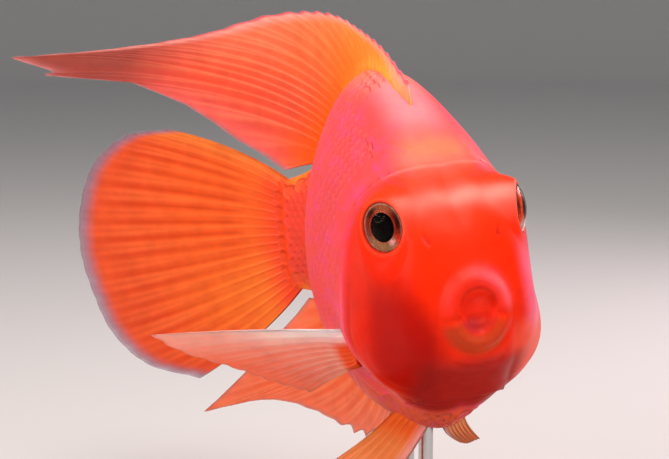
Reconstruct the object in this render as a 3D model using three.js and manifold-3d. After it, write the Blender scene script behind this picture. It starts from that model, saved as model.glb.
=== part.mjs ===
// A blood parrot cichlid at life size, a still display model on a plain stand.
// Millimetres, +Z up. The fish faces -Y, its left side is +X, and the stand rests on z = 0.
//
// The body and fins are first described for a straight fish, by s along the body from the
// snout, y to the fish's left and z up from the mouth. posed() then bends the tail to the
// fish's right, leans the body over and lifts it to its height over the stand.
import * as THREE from 'three';
import Module from 'manifold-3d';

const wasm = await Module();
wasm.setup();

// Driving dimensions
const GAP = 0.3;
const STANDARD_LENGTH = 136;
const MOUTH_HEIGHT = 90;
const SNOUT_Y = -66;
const LEAN = { angle: THREE.MathUtils.degToRad(-6), heading: THREE.MathUtils.degToRad(14) };
const TAIL_BEND = { start: 80, end: 172, angle: THREE.MathUtils.degToRad(66) };
const CENTRE_LINE = { step: 0.5, length: 240 };

// How finely the surfaces are divided: round the body, and along each stretch of it.
const DIVISIONS = { around: 44, nose: 12, cheek: 8, trunk: 13, stalk: 5 };
const FIN_ROWS = { keel: 6, caudal: 7, paired: 6 };

// Sections of the straight body at s: top, bottom and widest level, half width, and how
// much fuller than an ellipse the upper and lower halves are.
const STATIONS = [
  { s: 0, top: 13, bottom: -12, level: -1, half: 12, upper: 0, lower: 0 },
  { s: 9, top: 21.5, bottom: -17.5, level: -2, half: 17.2, upper: 0.04, lower: 0.03 },
  { s: 17, top: 30, bottom: -23.5, level: -3, half: 20, upper: 0.07, lower: 0.02 },
  { s: 26, top: 38, bottom: -30, level: -4, half: 22.8, upper: 0.05, lower: -0.06 },
  { s: 36, top: 44.8, bottom: -35.8, level: -4, half: 24.6, upper: 0.02, lower: -0.16 },
  { s: 48, top: 51.4, bottom: -39, level: -2, half: 25.4, upper: -0.02, lower: -0.11 },
  { s: 61, top: 55.8, bottom: -39.2, level: 1, half: 25.4, upper: -0.04, lower: -0.02 },
  { s: 76, top: 56.5, bottom: -36.4, level: 4, half: 24.2, upper: -0.05, lower: -0.02 },
  { s: 91, top: 51.5, bottom: -30, level: 6, half: 20.8, upper: -0.05, lower: -0.04 },
  { s: 104, top: 42, bottom: -22.5, level: 7, half: 15, upper: -0.05, lower: -0.05 },
  { s: 115, top: 32.5, bottom: -16.5, level: 7, half: 9.2, upper: -0.03, lower: -0.03 },
  { s: 126, top: 26, bottom: -12.5, level: 6.5, half: 5.2, upper: 0, lower: 0 },
  { s: 136, top: 23, bottom: -11, level: 6, half: 2.6, upper: 0, lower: 0 },
];
const NOSE_LENGTH = 9;

// The rear edge of the head, which is the gill cover's edge at the sides: s at each
// elevation round the body in degrees, from the throat (-90) to the nape (90).
const HEAD_EDGE = [[-90, 26], [-66, 31], [-45, 35], [-26, 37.5], [-6, 39.5], [12, 38.5], [30, 35],
  [50, 27.5], [66, 23.5], [90, 22]];
const HEAD_EDGE_MAX = 39.5;
const STALK_START = 118;

// Where two body nodes meet, each turns in by `depth` and is closed by a cap with its centre
// at s.
const RIM = { depth: 1.6, headCap: 31 };

// Swellings of the skin at the eye and the cheek, and the gill cover, which rises over its
// last stretch to an edge between two elevations and fades out at both ends.
const ORBIT = { s: 19.2, z: 21.5, reach: 9.2, rise: 3.4 };
const CHEEK = { s: 24, z: -15, reach: 10, rise: 3 };
const GILL_COVER = { rise: 0.9, ramp: 7, lowest: -80, highest: 48, fade: 25 };

// The lips are a swollen ring round the snout. The mouth inside them sinks from the share
// `rim` of that ring's size, over the share `slope`.
const MOUTH = { half: 7.8, tall: 9.2, z: 0, rise: 1.7, width: 0.3, depth: 3.4, rim: 0.78, slope: 0.5 };
const EYE = { s: 19.3, y: 15, z: 20.5, radius: 6.7, facing: [-0.5, 0.85, 0.15], segments: [20, 13] };
const NOSTRIL = { s: 7.6, elevation: 58, radius: 1.1, segments: [10, 8] };

// Fins in the middle plane: spines and then soft rays on the leading edge, up to the longest
// ray at its end, and shorter soft rays on the rear edge. Outlines are [s, z] points. The
// spines take the share spineBase of the fin's base and spineReach of its leading edge. The
// margin falls back between two tips by jag at the spines and by notch at the soft rays, and
// by fork more just behind the longest ray. The spiny part ends in the membrane just before
// the soft part begins. Every root starts inside the body and is cut off at its surface.
const DORSAL = {
  base: [42, 115], spineBase: 0.7, spines: 14, softFront: 8, softRear: 5, spineReach: 0.52,
  root: 2.6, bow: 0.06, jag: 2.2, notch: 0.7, fork: 9,
  front: [[43, 54.5], [65, 63], [90, 68.4], [113, 73.2], [137, 73.6], [160, 69.6], [190, 68], [222, 68.5]],
  rear: [[211, 61.7], [184, 58], [167, 49], [153, 36.5], [137, 27.5]],
};
const ANAL = {
  base: [80, 116], spineBase: 0.45, spines: 6, softFront: 6, softRear: 4, spineReach: 0.5,
  root: 2.6, bow: -0.07, jag: 2, notch: 0.6, fork: 0,
  front: [[90, -41], [104, -53], [118, -55.8], [132, -51], [150, -46.5], [173, -49.5]],
  rear: [[164, -42.5], [153, -34.5], [142, -25], [129, -15]],
};
const CAUDAL = {
  root: 2.5, baseTop: 21.5, baseBottom: -9.5, rays: 18, notch: 0.9, bow: 0.04,
  margin: [[174, 41.5], [188, 40.5], [199, 33], [205.5, 19], [207, 5], [204.5, -9], [200, -21.5],
    [190, -32.5], [173, -38.5]],
};

// Paired fins: the leading ray's root and the last ray's, the leading ray's direction, the
// way the rays fan from it, and their lengths from first to last.
const PECTORAL_ROOT = { top: [41.5, 24.6, -8], bottom: [45, 22.4, -19] };
const PECTORAL_RIGHT = {
  ...PECTORAL_ROOT, side: -1, root: 2.5, rays: 9, curl: 0.7, fan: 54,
  leading: [0.3, 0.95, 0.07], trailing: [0.87, 0.1, -0.48], lengths: [50, 44, 36, 31, 27, 23],
};
const PECTORAL_LEFT = {
  ...PECTORAL_ROOT, side: 1, root: 2.5, rays: 9, curl: 1.2, fan: 40,
  leading: [0.96, 0.18, 0.06], trailing: [0.25, 0.08, -0.95], lengths: [48, 44, 37, 31, 26, 21],
};
const PELVIC_RIGHT = {
  top: [44, 3.5, -37], bottom: [51, 11.5, -34.5], side: -1, root: 2.5, rays: 6, curl: -1, fan: 22,
  leading: [0.15, 0.62, -0.77], trailing: [0.66, 0.55, -0.3], lengths: [46, 40, 33, 27, 22],
};
const PELVIC_LEFT = {
  top: [44.5, 0.8, -37.5], bottom: [51, 8.5, -36], side: 1, root: 2.5, rays: 6, curl: -1, fan: 10,
  leading: [0.84, 0.37, -0.4], trailing: [0.75, 0.38, -0.54], lengths: [36, 35, 32, 29, 27],
};

// Rays stand out as ridges of the membrane. Thicknesses are at the root and at the edge.
const RAY_THICKNESS = [1.5, 0.7];
const MEMBRANE_THICKNESS = [0.9, 0.5];
const PAIRED_NOTCH = 0.7;

// The gap between the spiny and the soft part of a fin, in the distance between two rays.
const SPLIT = 0.1;

const BASE = { x: 0, y: 0, radius: 62, thickness: 9, chamfer: 1.2, sides: 64 };
const RODS = { radius: 2, stations: { front: 58, rear: 75 }, sunk: 8, sides: 20 };

// Curves
const radians = THREE.MathUtils.degToRad;
const lerp = THREE.MathUtils.lerp;
const clamp01 = (x) => THREE.MathUtils.clamp(x, 0, 1);
const smooth = (x) => clamp01(x) ** 2 * (3 - 2 * clamp01(x));

// A natural cubic spline through the points (xs[i], ys[i]).
function spline(xs, ys) {
  const last = xs.length - 1;
  const slope = xs.slice(0, last).map((x, i) => (ys[i + 1] - ys[i]) / (xs[i + 1] - x));
  const second = new Array(last + 1).fill(0);
  const weight = new Array(last + 1).fill(0);
  for (let i = 1; i < last; i++) {
    const [before, after] = [xs[i] - xs[i - 1], xs[i + 1] - xs[i]];
    const pivot = 2 * (before + after) - before * weight[i - 1];
    weight[i] = after / pivot;
    second[i] = (6 * (slope[i] - slope[i - 1]) - before * second[i - 1]) / pivot;
  }
  for (let i = last - 1; i > 0; i--) second[i] -= weight[i] * second[i + 1];
  return (value) => {
    const x = THREE.MathUtils.clamp(value, xs[0], xs[last]);
    const i = Math.min(last - 1, Math.max(0, xs.findIndex((end) => end > x) - 1));
    const index = x >= xs[last] ? last - 1 : i;
    const width = xs[index + 1] - xs[index];
    const [a, b] = [(xs[index + 1] - x) / width, (x - xs[index]) / width];
    const bulge = ((a ** 3 - a) * second[index] + (b ** 3 - b) * second[index + 1]) * width ** 2 / 6;
    return a * ys[index] + b * ys[index + 1] + bulge;
  };
}

// An outline of [s, z] points as a smooth curve; at(t) gives a point for t from 0 to 1.
function outline(points) {
  const curve = new THREE.CatmullRomCurve3(points.map(([s, z]) => new THREE.Vector3(s, 0, z)));
  return (t) => curve.getPoint(clamp01(t));
}

const stationCurve = (key) => spline(STATIONS.map((row) => row.s), STATIONS.map((row) => row[key]));
const bodyTop = stationCurve('top');
const bodyBottom = stationCurve('bottom');
const bodyLevel = stationCurve('level');
const bodyHalf = stationCurve('half');
const upperFullness = stationCurve('upper');
const lowerFullness = stationCurve('lower');
const headEdgeAt = spline(HEAD_EDGE.map((row) => row[0]), HEAD_EDGE.map((row) => row[1]));

// The bent, leaning pose
const leanAxis = new THREE.Vector3(Math.sin(LEAN.heading), Math.cos(LEAN.heading), 0);
const bendAngle = (s) => TAIL_BEND.angle * smooth((s - TAIL_BEND.start) / (TAIL_BEND.end - TAIL_BEND.start));
const centreLine = [new THREE.Vector3()];
for (let s = 0; s < CENTRE_LINE.length; s += CENTRE_LINE.step) {
  const angle = bendAngle(s + CENTRE_LINE.step / 2);
  const step = new THREE.Vector3(-Math.sin(angle), Math.cos(angle), 0).multiplyScalar(CENTRE_LINE.step);
  centreLine.push(centreLine.at(-1).clone().add(step));
}

function centreAt(s) {
  if (s <= 0) return new THREE.Vector3(0, s, 0);
  const along = s / CENTRE_LINE.step;
  const index = Math.min(centreLine.length - 2, Math.floor(along));
  return centreLine[index].clone().lerp(centreLine[index + 1], along - index);
}

function posed([s, y, z]) {
  const angle = bendAngle(s);
  const point = centreAt(s).add(new THREE.Vector3(y * Math.cos(angle), y * Math.sin(angle), z));
  return point.applyAxisAngle(leanAxis, LEAN.angle).add(new THREE.Vector3(0, SNOUT_Y, MOUTH_HEIGHT));
}

// The body's surface
function elevationOf(angle) {
  return THREE.MathUtils.radToDeg(Math.asin(Math.sin(angle)));
}

function headEdge(angle) {
  return headEdgeAt(elevationOf(angle));
}

function noseScale(s) {
  return Math.sqrt(Math.max(0, 1 - (1 - Math.min(1, s / NOSE_LENGTH)) ** 2));
}

function lipRise(s, y, z) {
  if (s > NOSE_LENGTH) return 0;
  const ring = Math.hypot(y / MOUTH.half, (z - MOUTH.z) / MOUTH.tall);
  const lips = MOUTH.rise * Math.exp(-(((ring - 1) / MOUTH.width) ** 2));
  return lips - MOUTH.depth * smooth((MOUTH.rim - ring) / MOUTH.slope);
}

function swelling({ s, z, reach, rise }, atS, atZ, sideways) {
  const distance = Math.hypot(atS - s, atZ - z) / reach;
  return rise * Math.exp(-(distance ** 2)) * Math.sqrt(Math.abs(sideways));
}

function gillCoverRise(s, angle) {
  const { rise, ramp, lowest, highest, fade } = GILL_COVER;
  const elevation = elevationOf(angle);
  const span = smooth((elevation - lowest) / fade) * smooth((highest - elevation) / fade);
  return rise * span * smooth(1 + (s - headEdge(angle)) / ramp);
}

// A point [s, y, z] on the straight body's surface, or grown outwards from it. Only the head
// is covered by the gill cover.
function surface(s, angle, grown = 0, covered = false) {
  const nose = noseScale(s);
  const level = bodyLevel(s) * nose;
  const above = Math.sin(angle) >= 0;
  const height = above ? bodyTop(s) * nose - level : level - bodyBottom(s) * nose;
  const half = bodyHalf(s) * nose;
  const full = 1 + (above ? upperFullness(s) : lowerFullness(s)) * Math.sin(2 * angle) ** 2;
  const y = half * Math.cos(angle) * full;
  const z = level + height * Math.sin(angle) * full;
  const out = new THREE.Vector2(Math.cos(angle) / Math.max(half, 1), Math.sin(angle) / Math.max(height, 1));
  out.normalize();
  const rise = grown + swelling(ORBIT, s, z, out.x) + swelling(CHEEK, s, z, out.x)
    + (covered ? gillCoverRise(s, angle) : 0);
  return [s - lipRise(s, y, z), y + out.x * rise, z + out.y * rise];
}

// Meshes
function geometryOf(points, faces) {
  const geometry = new THREE.BufferGeometry();
  geometry.setAttribute('position', new THREE.Float32BufferAttribute(points.flatMap((p) => p.toArray()), 3));
  geometry.setIndex(faces.flat());
  return geometry;
}

// Joins rings of equal length, each a closed loop, and closes both ends with a fan.
function ringSolid(rings, frontCentre, backCentre) {
  const count = rings[0].length;
  const points = [...rings.flat(), frontCentre, backCentre].map(posed);
  const faces = [];
  const front = rings.length * count;
  const [back, lastRing] = [front + 1, front - count];
  for (let j = 0; j < count; j++) {
    const next = (j + 1) % count;
    for (let i = 0; i + 1 < rings.length; i++) {
      const [a, b] = [i * count, (i + 1) * count];
      faces.push([a + j, a + next, b + next], [a + j, b + next, b + j]);
    }
    faces.push([front, next, j], [back, lastRing + j, lastRing + next]);
  }
  return outwards(geometryOf(points, faces));
}

// Turns every face round if the closed mesh is inside out.
function outwards(geometry) {
  const [position, index] = [geometry.getAttribute('position'), geometry.getIndex()];
  const corner = (i) => new THREE.Vector3().fromBufferAttribute(position, index.getX(i));
  let volume = 0;
  for (let i = 0; i < index.count; i += 3) volume += corner(i).dot(corner(i + 1).cross(corner(i + 2)));
  if (volume < 0) {
    for (let i = 0; i < index.count; i += 3) {
      const [second, third] = [index.getX(i + 1), index.getX(i + 2)];
      index.setX(i + 1, third);
      index.setX(i + 2, second);
    }
  }
  return geometry;
}

function toSolid(geometry) {
  return new wasm.Manifold(new wasm.Mesh({
    numProp: 3,
    vertProperties: new Float32Array(geometry.getAttribute('position').array),
    triVerts: new Uint32Array(geometry.getIndex().array),
  }));
}

// The largest closed surface of a solid, as a geometry.
function toGeometry(solid) {
  const pieces = solid.decompose().sort((a, b) => b.volume() - a.volume());
  const { numProp, vertProperties, triVerts } = pieces[0].getMesh();
  const points = [];
  for (let i = 0; i < vertProperties.length; i += numProp) {
    points.push(new THREE.Vector3(vertProperties[i], vertProperties[i + 1], vertProperties[i + 2]));
  }
  const faces = [];
  for (let i = 0; i < triVerts.length; i += 3) faces.push([triVerts[i], triVerts[i + 1], triVerts[i + 2]]);
  return geometryOf(points, faces);
}

// A thin solid either side of a sheet of points mid(ray, row), where row runs from 0 to 1. It
// is thicker on a ray than between two. Both faces are split into triangles alike.
function finSolid(rays, rows, mid) {
  const at = (i, j) => mid(rays[clampIndex(i, rays)], rows[clampIndex(j, rows)]);
  const sides = [[], []];
  rays.forEach((ray, i) => rows.forEach((row, j) => {
    const across = at(i + 1, j).sub(at(i - 1, j));
    const along = at(i, j + 1).sub(at(i, j - 1));
    const normal = across.cross(along).normalize();
    const [root, edge] = isBetween(ray) ? MEMBRANE_THICKNESS : RAY_THICKNESS;
    const half = lerp(root, edge, row) / 2;
    sides[0].push(mid(ray, row).addScaledVector(normal, half));
    sides[1].push(mid(ray, row).addScaledVector(normal, -half));
  }));
  const points = [...sides[0], ...sides[1]].map((point) => posed(point.toArray()));
  const [width, height, offset] = [rays.length, rows.length, rays.length * rows.length];
  const index = (i, j) => i * height + j;
  const faces = [];
  const addOnBothSides = (a, b, c) => faces.push([a, b, c], [offset + a, offset + c, offset + b]);
  for (let i = 0; i + 1 < width; i++) {
    for (let j = 0; j + 1 < height; j++) {
      const [a, b, c, d] = [index(i, j), index(i + 1, j), index(i + 1, j + 1), index(i, j + 1)];
      addOnBothSides(a, b, c);
      addOnBothSides(a, c, d);
    }
  }
  const rim = [];
  for (let i = 0; i < width; i++) rim.push(index(i, 0));
  for (let j = 1; j < height; j++) rim.push(index(width - 1, j));
  for (let i = width - 2; i >= 0; i--) rim.push(index(i, height - 1));
  for (let j = height - 2; j > 0; j--) rim.push(index(0, j));
  rim.forEach((a, k) => {
    const b = rim[(k + 1) % rim.length];
    faces.push([a, offset + a, offset + b], [a, offset + b, b]);
  });
  return outwards(geometryOf(points, faces));
}

function clampIndex(i, list) {
  return THREE.MathUtils.clamp(i, 0, list.length - 1);
}

function steps(count) {
  return Array.from({ length: count + 1 }, (_, i) => i / count);
}

// Body nodes
const angles = steps(DIVISIONS.around).slice(1).map((k) => (k * 2 - 0.5) * Math.PI);
const noseRings = steps(DIVISIONS.nose).slice(1).map((k) => NOSE_LENGTH * (1 - Math.sqrt(1 - k ** 2)));
const cheekRings = steps(DIVISIONS.cheek).slice(1).map((k) => lerp(NOSE_LENGTH, HEAD_EDGE_MAX, k));

// s on the head for a ring that is at `nominal` where the gill cover reaches furthest back.
function headStation(nominal, angle) {
  if (nominal <= NOSE_LENGTH) return nominal;
  const share = (nominal - NOSE_LENGTH) / (HEAD_EDGE_MAX - NOSE_LENGTH);
  return lerp(NOSE_LENGTH, headEdge(angle) - GAP / 2, share);
}

// The ring just inside the skin where one body node meets the next.
function rimRing(stationOf) {
  return angles.map((angle) => surface(stationOf(angle), angle, -RIM.depth));
}

function bodyCentre(s) {
  return [s, 0, (bodyTop(s) + bodyBottom(s)) / 2];
}

function headGeometry() {
  const rings = [...noseRings, ...cheekRings].map((nominal) => angles.map(
    (angle) => surface(headStation(nominal, angle), angle, 0, true),
  ));
  rings.push(rimRing((angle) => headEdge(angle) - GAP / 2));
  const tip = surface(0, 0);
  return ringSolid(rings, [tip[0], 0, 0], bodyCentre(RIM.headCap - GAP / 2));
}

function trunkStart(angle) {
  return headEdge(angle) + GAP / 2;
}

// Rings on the trunk and on the tail stalk, on the skin or grown outwards from it.
function trunkRings(grown) {
  return steps(DIVISIONS.trunk).map((k) => angles.map(
    (angle) => surface(lerp(trunkStart(angle), STALK_START - GAP / 2, k), angle, grown),
  ));
}

function stalkRings(grown) {
  return steps(DIVISIONS.stalk).map((k) => angles.map(
    (angle) => surface(lerp(STALK_START + GAP / 2, STANDARD_LENGTH + grown, k), angle, grown),
  ));
}

function trunkGeometry() {
  const stalkEnd = STALK_START - GAP / 2;
  const rings = [rimRing(trunkStart), ...trunkRings(0), rimRing(() => stalkEnd)];
  return ringSolid(rings, bodyCentre(RIM.headCap + GAP / 2), bodyCentre(stalkEnd));
}

function stalkGeometry() {
  const start = STALK_START + GAP / 2;
  return ringSolid([rimRing(() => start), ...stalkRings(0)], bodyCentre(start), bodyCentre(STANDARD_LENGTH));
}

// The body from the cheeks back, grown by the gap. It cuts the fins' roots and the rods' ends.
function clearanceSolid() {
  const head = cheekRings.map((nominal) => angles.map(
    (angle) => surface(headStation(nominal, angle), angle, GAP, true),
  ));
  const rings = [...head, ...trunkRings(GAP), ...stalkRings(GAP)];
  const [front, back] = [bodyCentre(cheekRings[0]), bodyCentre(STANDARD_LENGTH + GAP)];
  return toSolid(ringSolid(rings, front, back));
}

// Eyes
function eyeBall(side, radius) {
  const ball = new THREE.SphereGeometry(radius, ...EYE.segments).toNonIndexed();
  const seat = posed([EYE.s, side * EYE.y, EYE.z]);
  const facing = posed([EYE.s + EYE.facing[0], side * (EYE.y + EYE.facing[1]), EYE.z + EYE.facing[2]]);
  const turn = new THREE.Quaternion().setFromUnitVectors(
    new THREE.Vector3(0, 1, 0),
    facing.sub(seat).normalize(),
  );
  ball.applyQuaternion(turn).translate(...seat.toArray());
  return closed(ball);
}

// A closed copy of a library geometry with only its positions, shared between faces.
function closed(geometry) {
  const position = geometry.getAttribute('position');
  const [points, faces, seen] = [[], [], new Map()];
  let face = [];
  for (let i = 0; i < position.count; i++) {
    const point = new THREE.Vector3().fromBufferAttribute(position, i);
    const key = point.toArray().map((v) => Math.round(v * 1e4)).join();
    if (!seen.has(key)) {
      seen.set(key, points.length);
      points.push(point);
    }
    face.push(seen.get(key));
    if (face.length === 3) {
      if (new Set(face).size === 3) faces.push(face);
      face = [];
    }
  }
  return outwards(geometryOf(points, faces));
}

// Fins
// A ray's course from its root to its tip, bowed sideways by a share of its length.
function bowed(root, tip, bow, row) {
  const along = tip.clone().sub(root);
  const sideways = new THREE.Vector3(-along.z, 0, along.x).multiplyScalar(bow * 2);
  const middle = root.clone().lerp(tip, 0.5).add(sideways);
  return new THREE.QuadraticBezierCurve3(root, middle, tip).getPoint(row);
}

// Whether a place counted in rays is in the membrane, about half way between two of them.
function isBetween(ray) {
  return Math.abs(ray - Math.round(ray)) > 0.25;
}

// Places on each ray and half way to the next, with the fin's own two edges at the ends.
function rayPlaces(first, last) {
  const inner = steps((Math.floor(last) - Math.ceil(first)) * 2).map(
    (k) => lerp(Math.ceil(first), Math.floor(last), k),
  );
  return [...new Set([first, ...inner, last])];
}

// A fin in the fish's middle plane, along the back or the belly: its spiny and its soft part.
function keelFin(fin, edgeAt, inwards) {
  const [leading, trailing] = [outline(fin.front), outline(fin.rear)];
  const longest = fin.spines + fin.softFront;
  const rays = longest + fin.softRear;
  const tipOf = (ray) => {
    if (ray > longest) return trailing((ray - longest - 1) / (fin.softRear - 1));
    if (ray <= fin.spines) return leading(fin.spineReach * ray / fin.spines);
    return leading(lerp(fin.spineReach, 1, (ray - fin.spines) / fin.softFront));
  };
  const rootOf = (ray) => {
    const share = ray <= fin.spines ? fin.spineBase * ray / fin.spines
      : lerp(fin.spineBase, 1, (ray - fin.spines) / (rays - fin.spines));
    const s = lerp(fin.base[0], fin.base[1], share);
    return new THREE.Vector3(s, 0, edgeAt(s) + inwards * fin.root);
  };
  const mid = (ray, row) => {
    const start = rootOf(ray);
    if (!isBetween(ray)) return bowed(start, tipOf(Math.round(ray)), fin.bow, row);
    const tip = tipOf(Math.floor(ray)).lerp(tipOf(Math.ceil(ray)), ray % 1);
    const depth = ray < fin.spines ? fin.jag : fin.notch + (Math.floor(ray) === longest ? fin.fork : 0);
    return bowed(start, tip.lerp(start, depth / tip.distanceTo(start)), fin.bow, row);
  };
  const part = (first, last) => finSolid(rayPlaces(first, last), steps(FIN_ROWS.keel), mid);
  const split = fin.spines + 0.5;
  return { spiny: part(0, split - SPLIT / 2), soft: part(split + SPLIT / 2, rays) };
}

function caudalGeometry() {
  const { root, baseTop, baseBottom, rays, notch, bow, margin } = CAUDAL;
  const tips = outline(margin);
  const mid = (ray, row) => {
    const down = ray / rays;
    const start = new THREE.Vector3(STANDARD_LENGTH - root, 0, lerp(baseTop, baseBottom, down));
    const tip = tips(down);
    if (isBetween(ray)) tip.lerp(start, notch / tip.distanceTo(start));
    return bowed(start, tip, bow * (1 - 2 * down), row);
  };
  return finSolid(rayPlaces(0, rays), steps(FIN_ROWS.caudal), mid);
}

// A fin of a pair: rays fan from a short root line on the body's side.
function pairedFin({ side, top, bottom, root, rays, leading, trailing, fan, lengths, curl }) {
  const mirrored = ([s, y, z]) => new THREE.Vector3(s, side * y, z);
  const first = mirrored(leading).normalize();
  const spread = mirrored(trailing);
  spread.addScaledVector(first, -spread.dot(first)).normalize();
  const bend = first.clone().cross(spread).multiplyScalar(curl);
  const lengthAt = spline(lengths.map((_, i) => i / (lengths.length - 1)), lengths);
  const mid = (ray, row) => {
    const across = ray / rays;
    const angle = radians(fan) * across;
    const direction = first.clone().multiplyScalar(Math.cos(angle)).addScaledVector(spread, Math.sin(angle));
    const length = lengthAt(across) - (isBetween(ray) ? PAIRED_NOTCH : 0) + root;
    const start = mirrored(top).lerp(mirrored(bottom), across).addScaledVector(direction, -root);
    return start.addScaledVector(direction, length * row).addScaledVector(bend, Math.sin(Math.PI * row));
  };
  return finSolid(rayPlaces(0, rays), steps(FIN_ROWS.paired), mid);
}

// Stand
function baseGeometry() {
  const { x, y, radius, thickness, chamfer, sides } = BASE;
  const profile = [[0, 0], [radius - chamfer, 0], [radius, chamfer], [radius, thickness - chamfer],
    [radius - chamfer, thickness], [0, thickness]].map(([r, z]) => new THREE.Vector2(r, z));
  const disc = new THREE.LatheGeometry(profile, sides).toNonIndexed();
  return closed(disc.rotateX(Math.PI / 2).translate(x, y, 0));
}

function rodGeometry(s) {
  const belly = posed([s, 0, bodyBottom(s)]);
  const foot = BASE.thickness + GAP;
  const length = belly.z + RODS.sunk - foot;
  const rod = new THREE.CylinderGeometry(RODS.radius, RODS.radius, length, RODS.sides).toNonIndexed();
  return closed(rod.rotateX(Math.PI / 2).translate(belly.x, belly.y, foot + length / 2));
}

const dorsal = keelFin(DORSAL, bodyTop, -1);
const anal = keelFin(ANAL, bodyBottom, 1);
const clearance = clearanceSolid();
const cutFree = (geometry) => toGeometry(toSolid(geometry).subtract(clearance));

function headWithOpenings() {
  let head = toSolid(headGeometry());
  for (const side of [-1, 1]) {
    head = head.subtract(toSolid(eyeBall(side, EYE.radius + GAP)));
    const angle = radians(side > 0 ? NOSTRIL.elevation : 180 - NOSTRIL.elevation);
    const pit = new THREE.SphereGeometry(NOSTRIL.radius, ...NOSTRIL.segments).toNonIndexed();
    pit.translate(...posed(surface(NOSTRIL.s, angle)).toArray());
    head = head.subtract(toSolid(closed(pit)));
  }
  return toGeometry(head);
}

// The scene: each piece's geometry, colour, roughness and metalness.
const PIECES = {
  head: [headWithOpenings(), 0xee3a18, 0.38, 0],
  trunk: [trunkGeometry(), 0xf4606a, 0.38, 0],
  tail_stalk: [stalkGeometry(), 0xf8703c, 0.38, 0],
  dorsal_fin_spiny: [cutFree(dorsal.spiny), 0xf2813f, 0.42, 0],
  dorsal_fin_soft: [cutFree(dorsal.soft), 0xf2813f, 0.42, 0],
  anal_fin_spiny: [cutFree(anal.spiny), 0xf2813f, 0.42, 0],
  anal_fin_soft: [cutFree(anal.soft), 0xf2813f, 0.42, 0],
  caudal_fin: [cutFree(caudalGeometry()), 0xf47a2c, 0.42, 0],
  pectoral_fin_right: [cutFree(pairedFin(PECTORAL_RIGHT)), 0xf0806a, 0.42, 0],
  pectoral_fin_left: [cutFree(pairedFin(PECTORAL_LEFT)), 0xf0806a, 0.42, 0],
  pelvic_fin_right: [cutFree(pairedFin(PELVIC_RIGHT)), 0xf0806a, 0.42, 0],
  pelvic_fin_left: [cutFree(pairedFin(PELVIC_LEFT)), 0xf0806a, 0.42, 0],
  eye_right: [eyeBall(-1, EYE.radius), 0x2a1210, 0.1, 0],
  eye_left: [eyeBall(1, EYE.radius), 0x2a1210, 0.1, 0],
  stand_base: [baseGeometry(), 0x4a2f20, 0.5, 0],
  stand_rod_front: [cutFree(rodGeometry(RODS.stations.front)), 0xb9bcc0, 0.35, 1],
  stand_rod_rear: [cutFree(rodGeometry(RODS.stations.rear)), 0xb9bcc0, 0.35, 1],
};

const model = new THREE.Group();
for (const [name, [geometry, color, roughness, metalness]] of Object.entries(PIECES)) {
  geometry.computeVertexNormals();
  const mesh = new THREE.Mesh(geometry, new THREE.MeshStandardMaterial({ color, roughness, metalness }));
  mesh.name = name;
  model.add(mesh);
}

export default model;
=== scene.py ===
"""A blood parrot cichlid at life size, a still display model on a plain stand.

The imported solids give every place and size. One skin covers the head, the trunk and the tail
stalk, thin scales lie over it, and each fin is a membrane carried by its rays. Sizes are in
millimetres on a straight fish: s along the body from the snout, y to its left, z up from the
mouth. Pose bends and leans that fish and gives metres in the model's own frame.
"""
import logging
import math
from dataclasses import dataclass
from enum import Enum
from typing import Any, Callable, Iterable, Sequence

import bpy
import numpy as np
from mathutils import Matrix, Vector


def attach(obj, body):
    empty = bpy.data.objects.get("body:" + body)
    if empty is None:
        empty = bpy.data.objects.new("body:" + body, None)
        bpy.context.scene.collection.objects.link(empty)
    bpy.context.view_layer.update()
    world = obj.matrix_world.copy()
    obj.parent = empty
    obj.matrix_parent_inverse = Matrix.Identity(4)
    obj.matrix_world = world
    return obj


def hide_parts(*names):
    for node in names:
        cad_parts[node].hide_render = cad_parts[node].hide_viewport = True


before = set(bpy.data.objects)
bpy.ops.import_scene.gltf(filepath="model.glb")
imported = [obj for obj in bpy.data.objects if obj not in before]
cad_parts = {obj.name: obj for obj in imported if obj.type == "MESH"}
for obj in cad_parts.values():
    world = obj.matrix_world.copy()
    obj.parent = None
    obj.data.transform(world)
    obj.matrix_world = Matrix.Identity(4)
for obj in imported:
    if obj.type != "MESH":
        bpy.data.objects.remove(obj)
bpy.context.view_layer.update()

Array = np.ndarray
Curve = Callable[[Array], Array]
log = logging.getLogger("blood_parrot")

MM = 0.001
BODY = "root"
NOSE_LENGTH = 9.0
STANDARD_LENGTH = 136.0
CAUDAL_ROOT = "#ff4c22"


class Side(Enum):
    """The fish's two sides, by the sign of y."""

    RIGHT = -1
    LEFT = 1


# Numbers and colours

def smooth(x: Array) -> Array:
    """Ease from 0 to 1 as x goes from 0 to 1."""
    x = np.clip(x, 0.0, 1.0)
    return x * x * (3.0 - 2.0 * x)


def bump(x: Array, centre: float, width: float) -> Array:
    """A soft peak of height 1 at the centre."""
    return np.exp(-(((x - centre) / width) ** 2))


def lerp(a: Array, b: Array, share: Array) -> Array:
    """Go from a to b by a share."""
    return a + (b - a) * share


def unit(vectors: Array) -> Array:
    """Scale vectors to length 1."""
    return vectors / np.maximum(np.linalg.norm(vectors, axis=-1, keepdims=True), 1e-9)


def linear(colour: str) -> Array:
    """Turn an sRGB hex colour to linear light.

    Args:
        colour: six hex digits with a leading #.

    Returns:
        Red, green and blue in linear light.
    """
    value = np.array([int(colour[i:i + 2], 16) for i in (1, 3, 5)]) / 255.0
    return np.where(value <= 0.04045, value / 12.92, ((value + 0.055) / 1.055) ** 2.4)


def rgba(colour: str) -> tuple[float, float, float, float]:
    """Turn an sRGB hex colour to a shader's linear colour."""
    return (*linear(colour).tolist(), 1.0)


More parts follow.
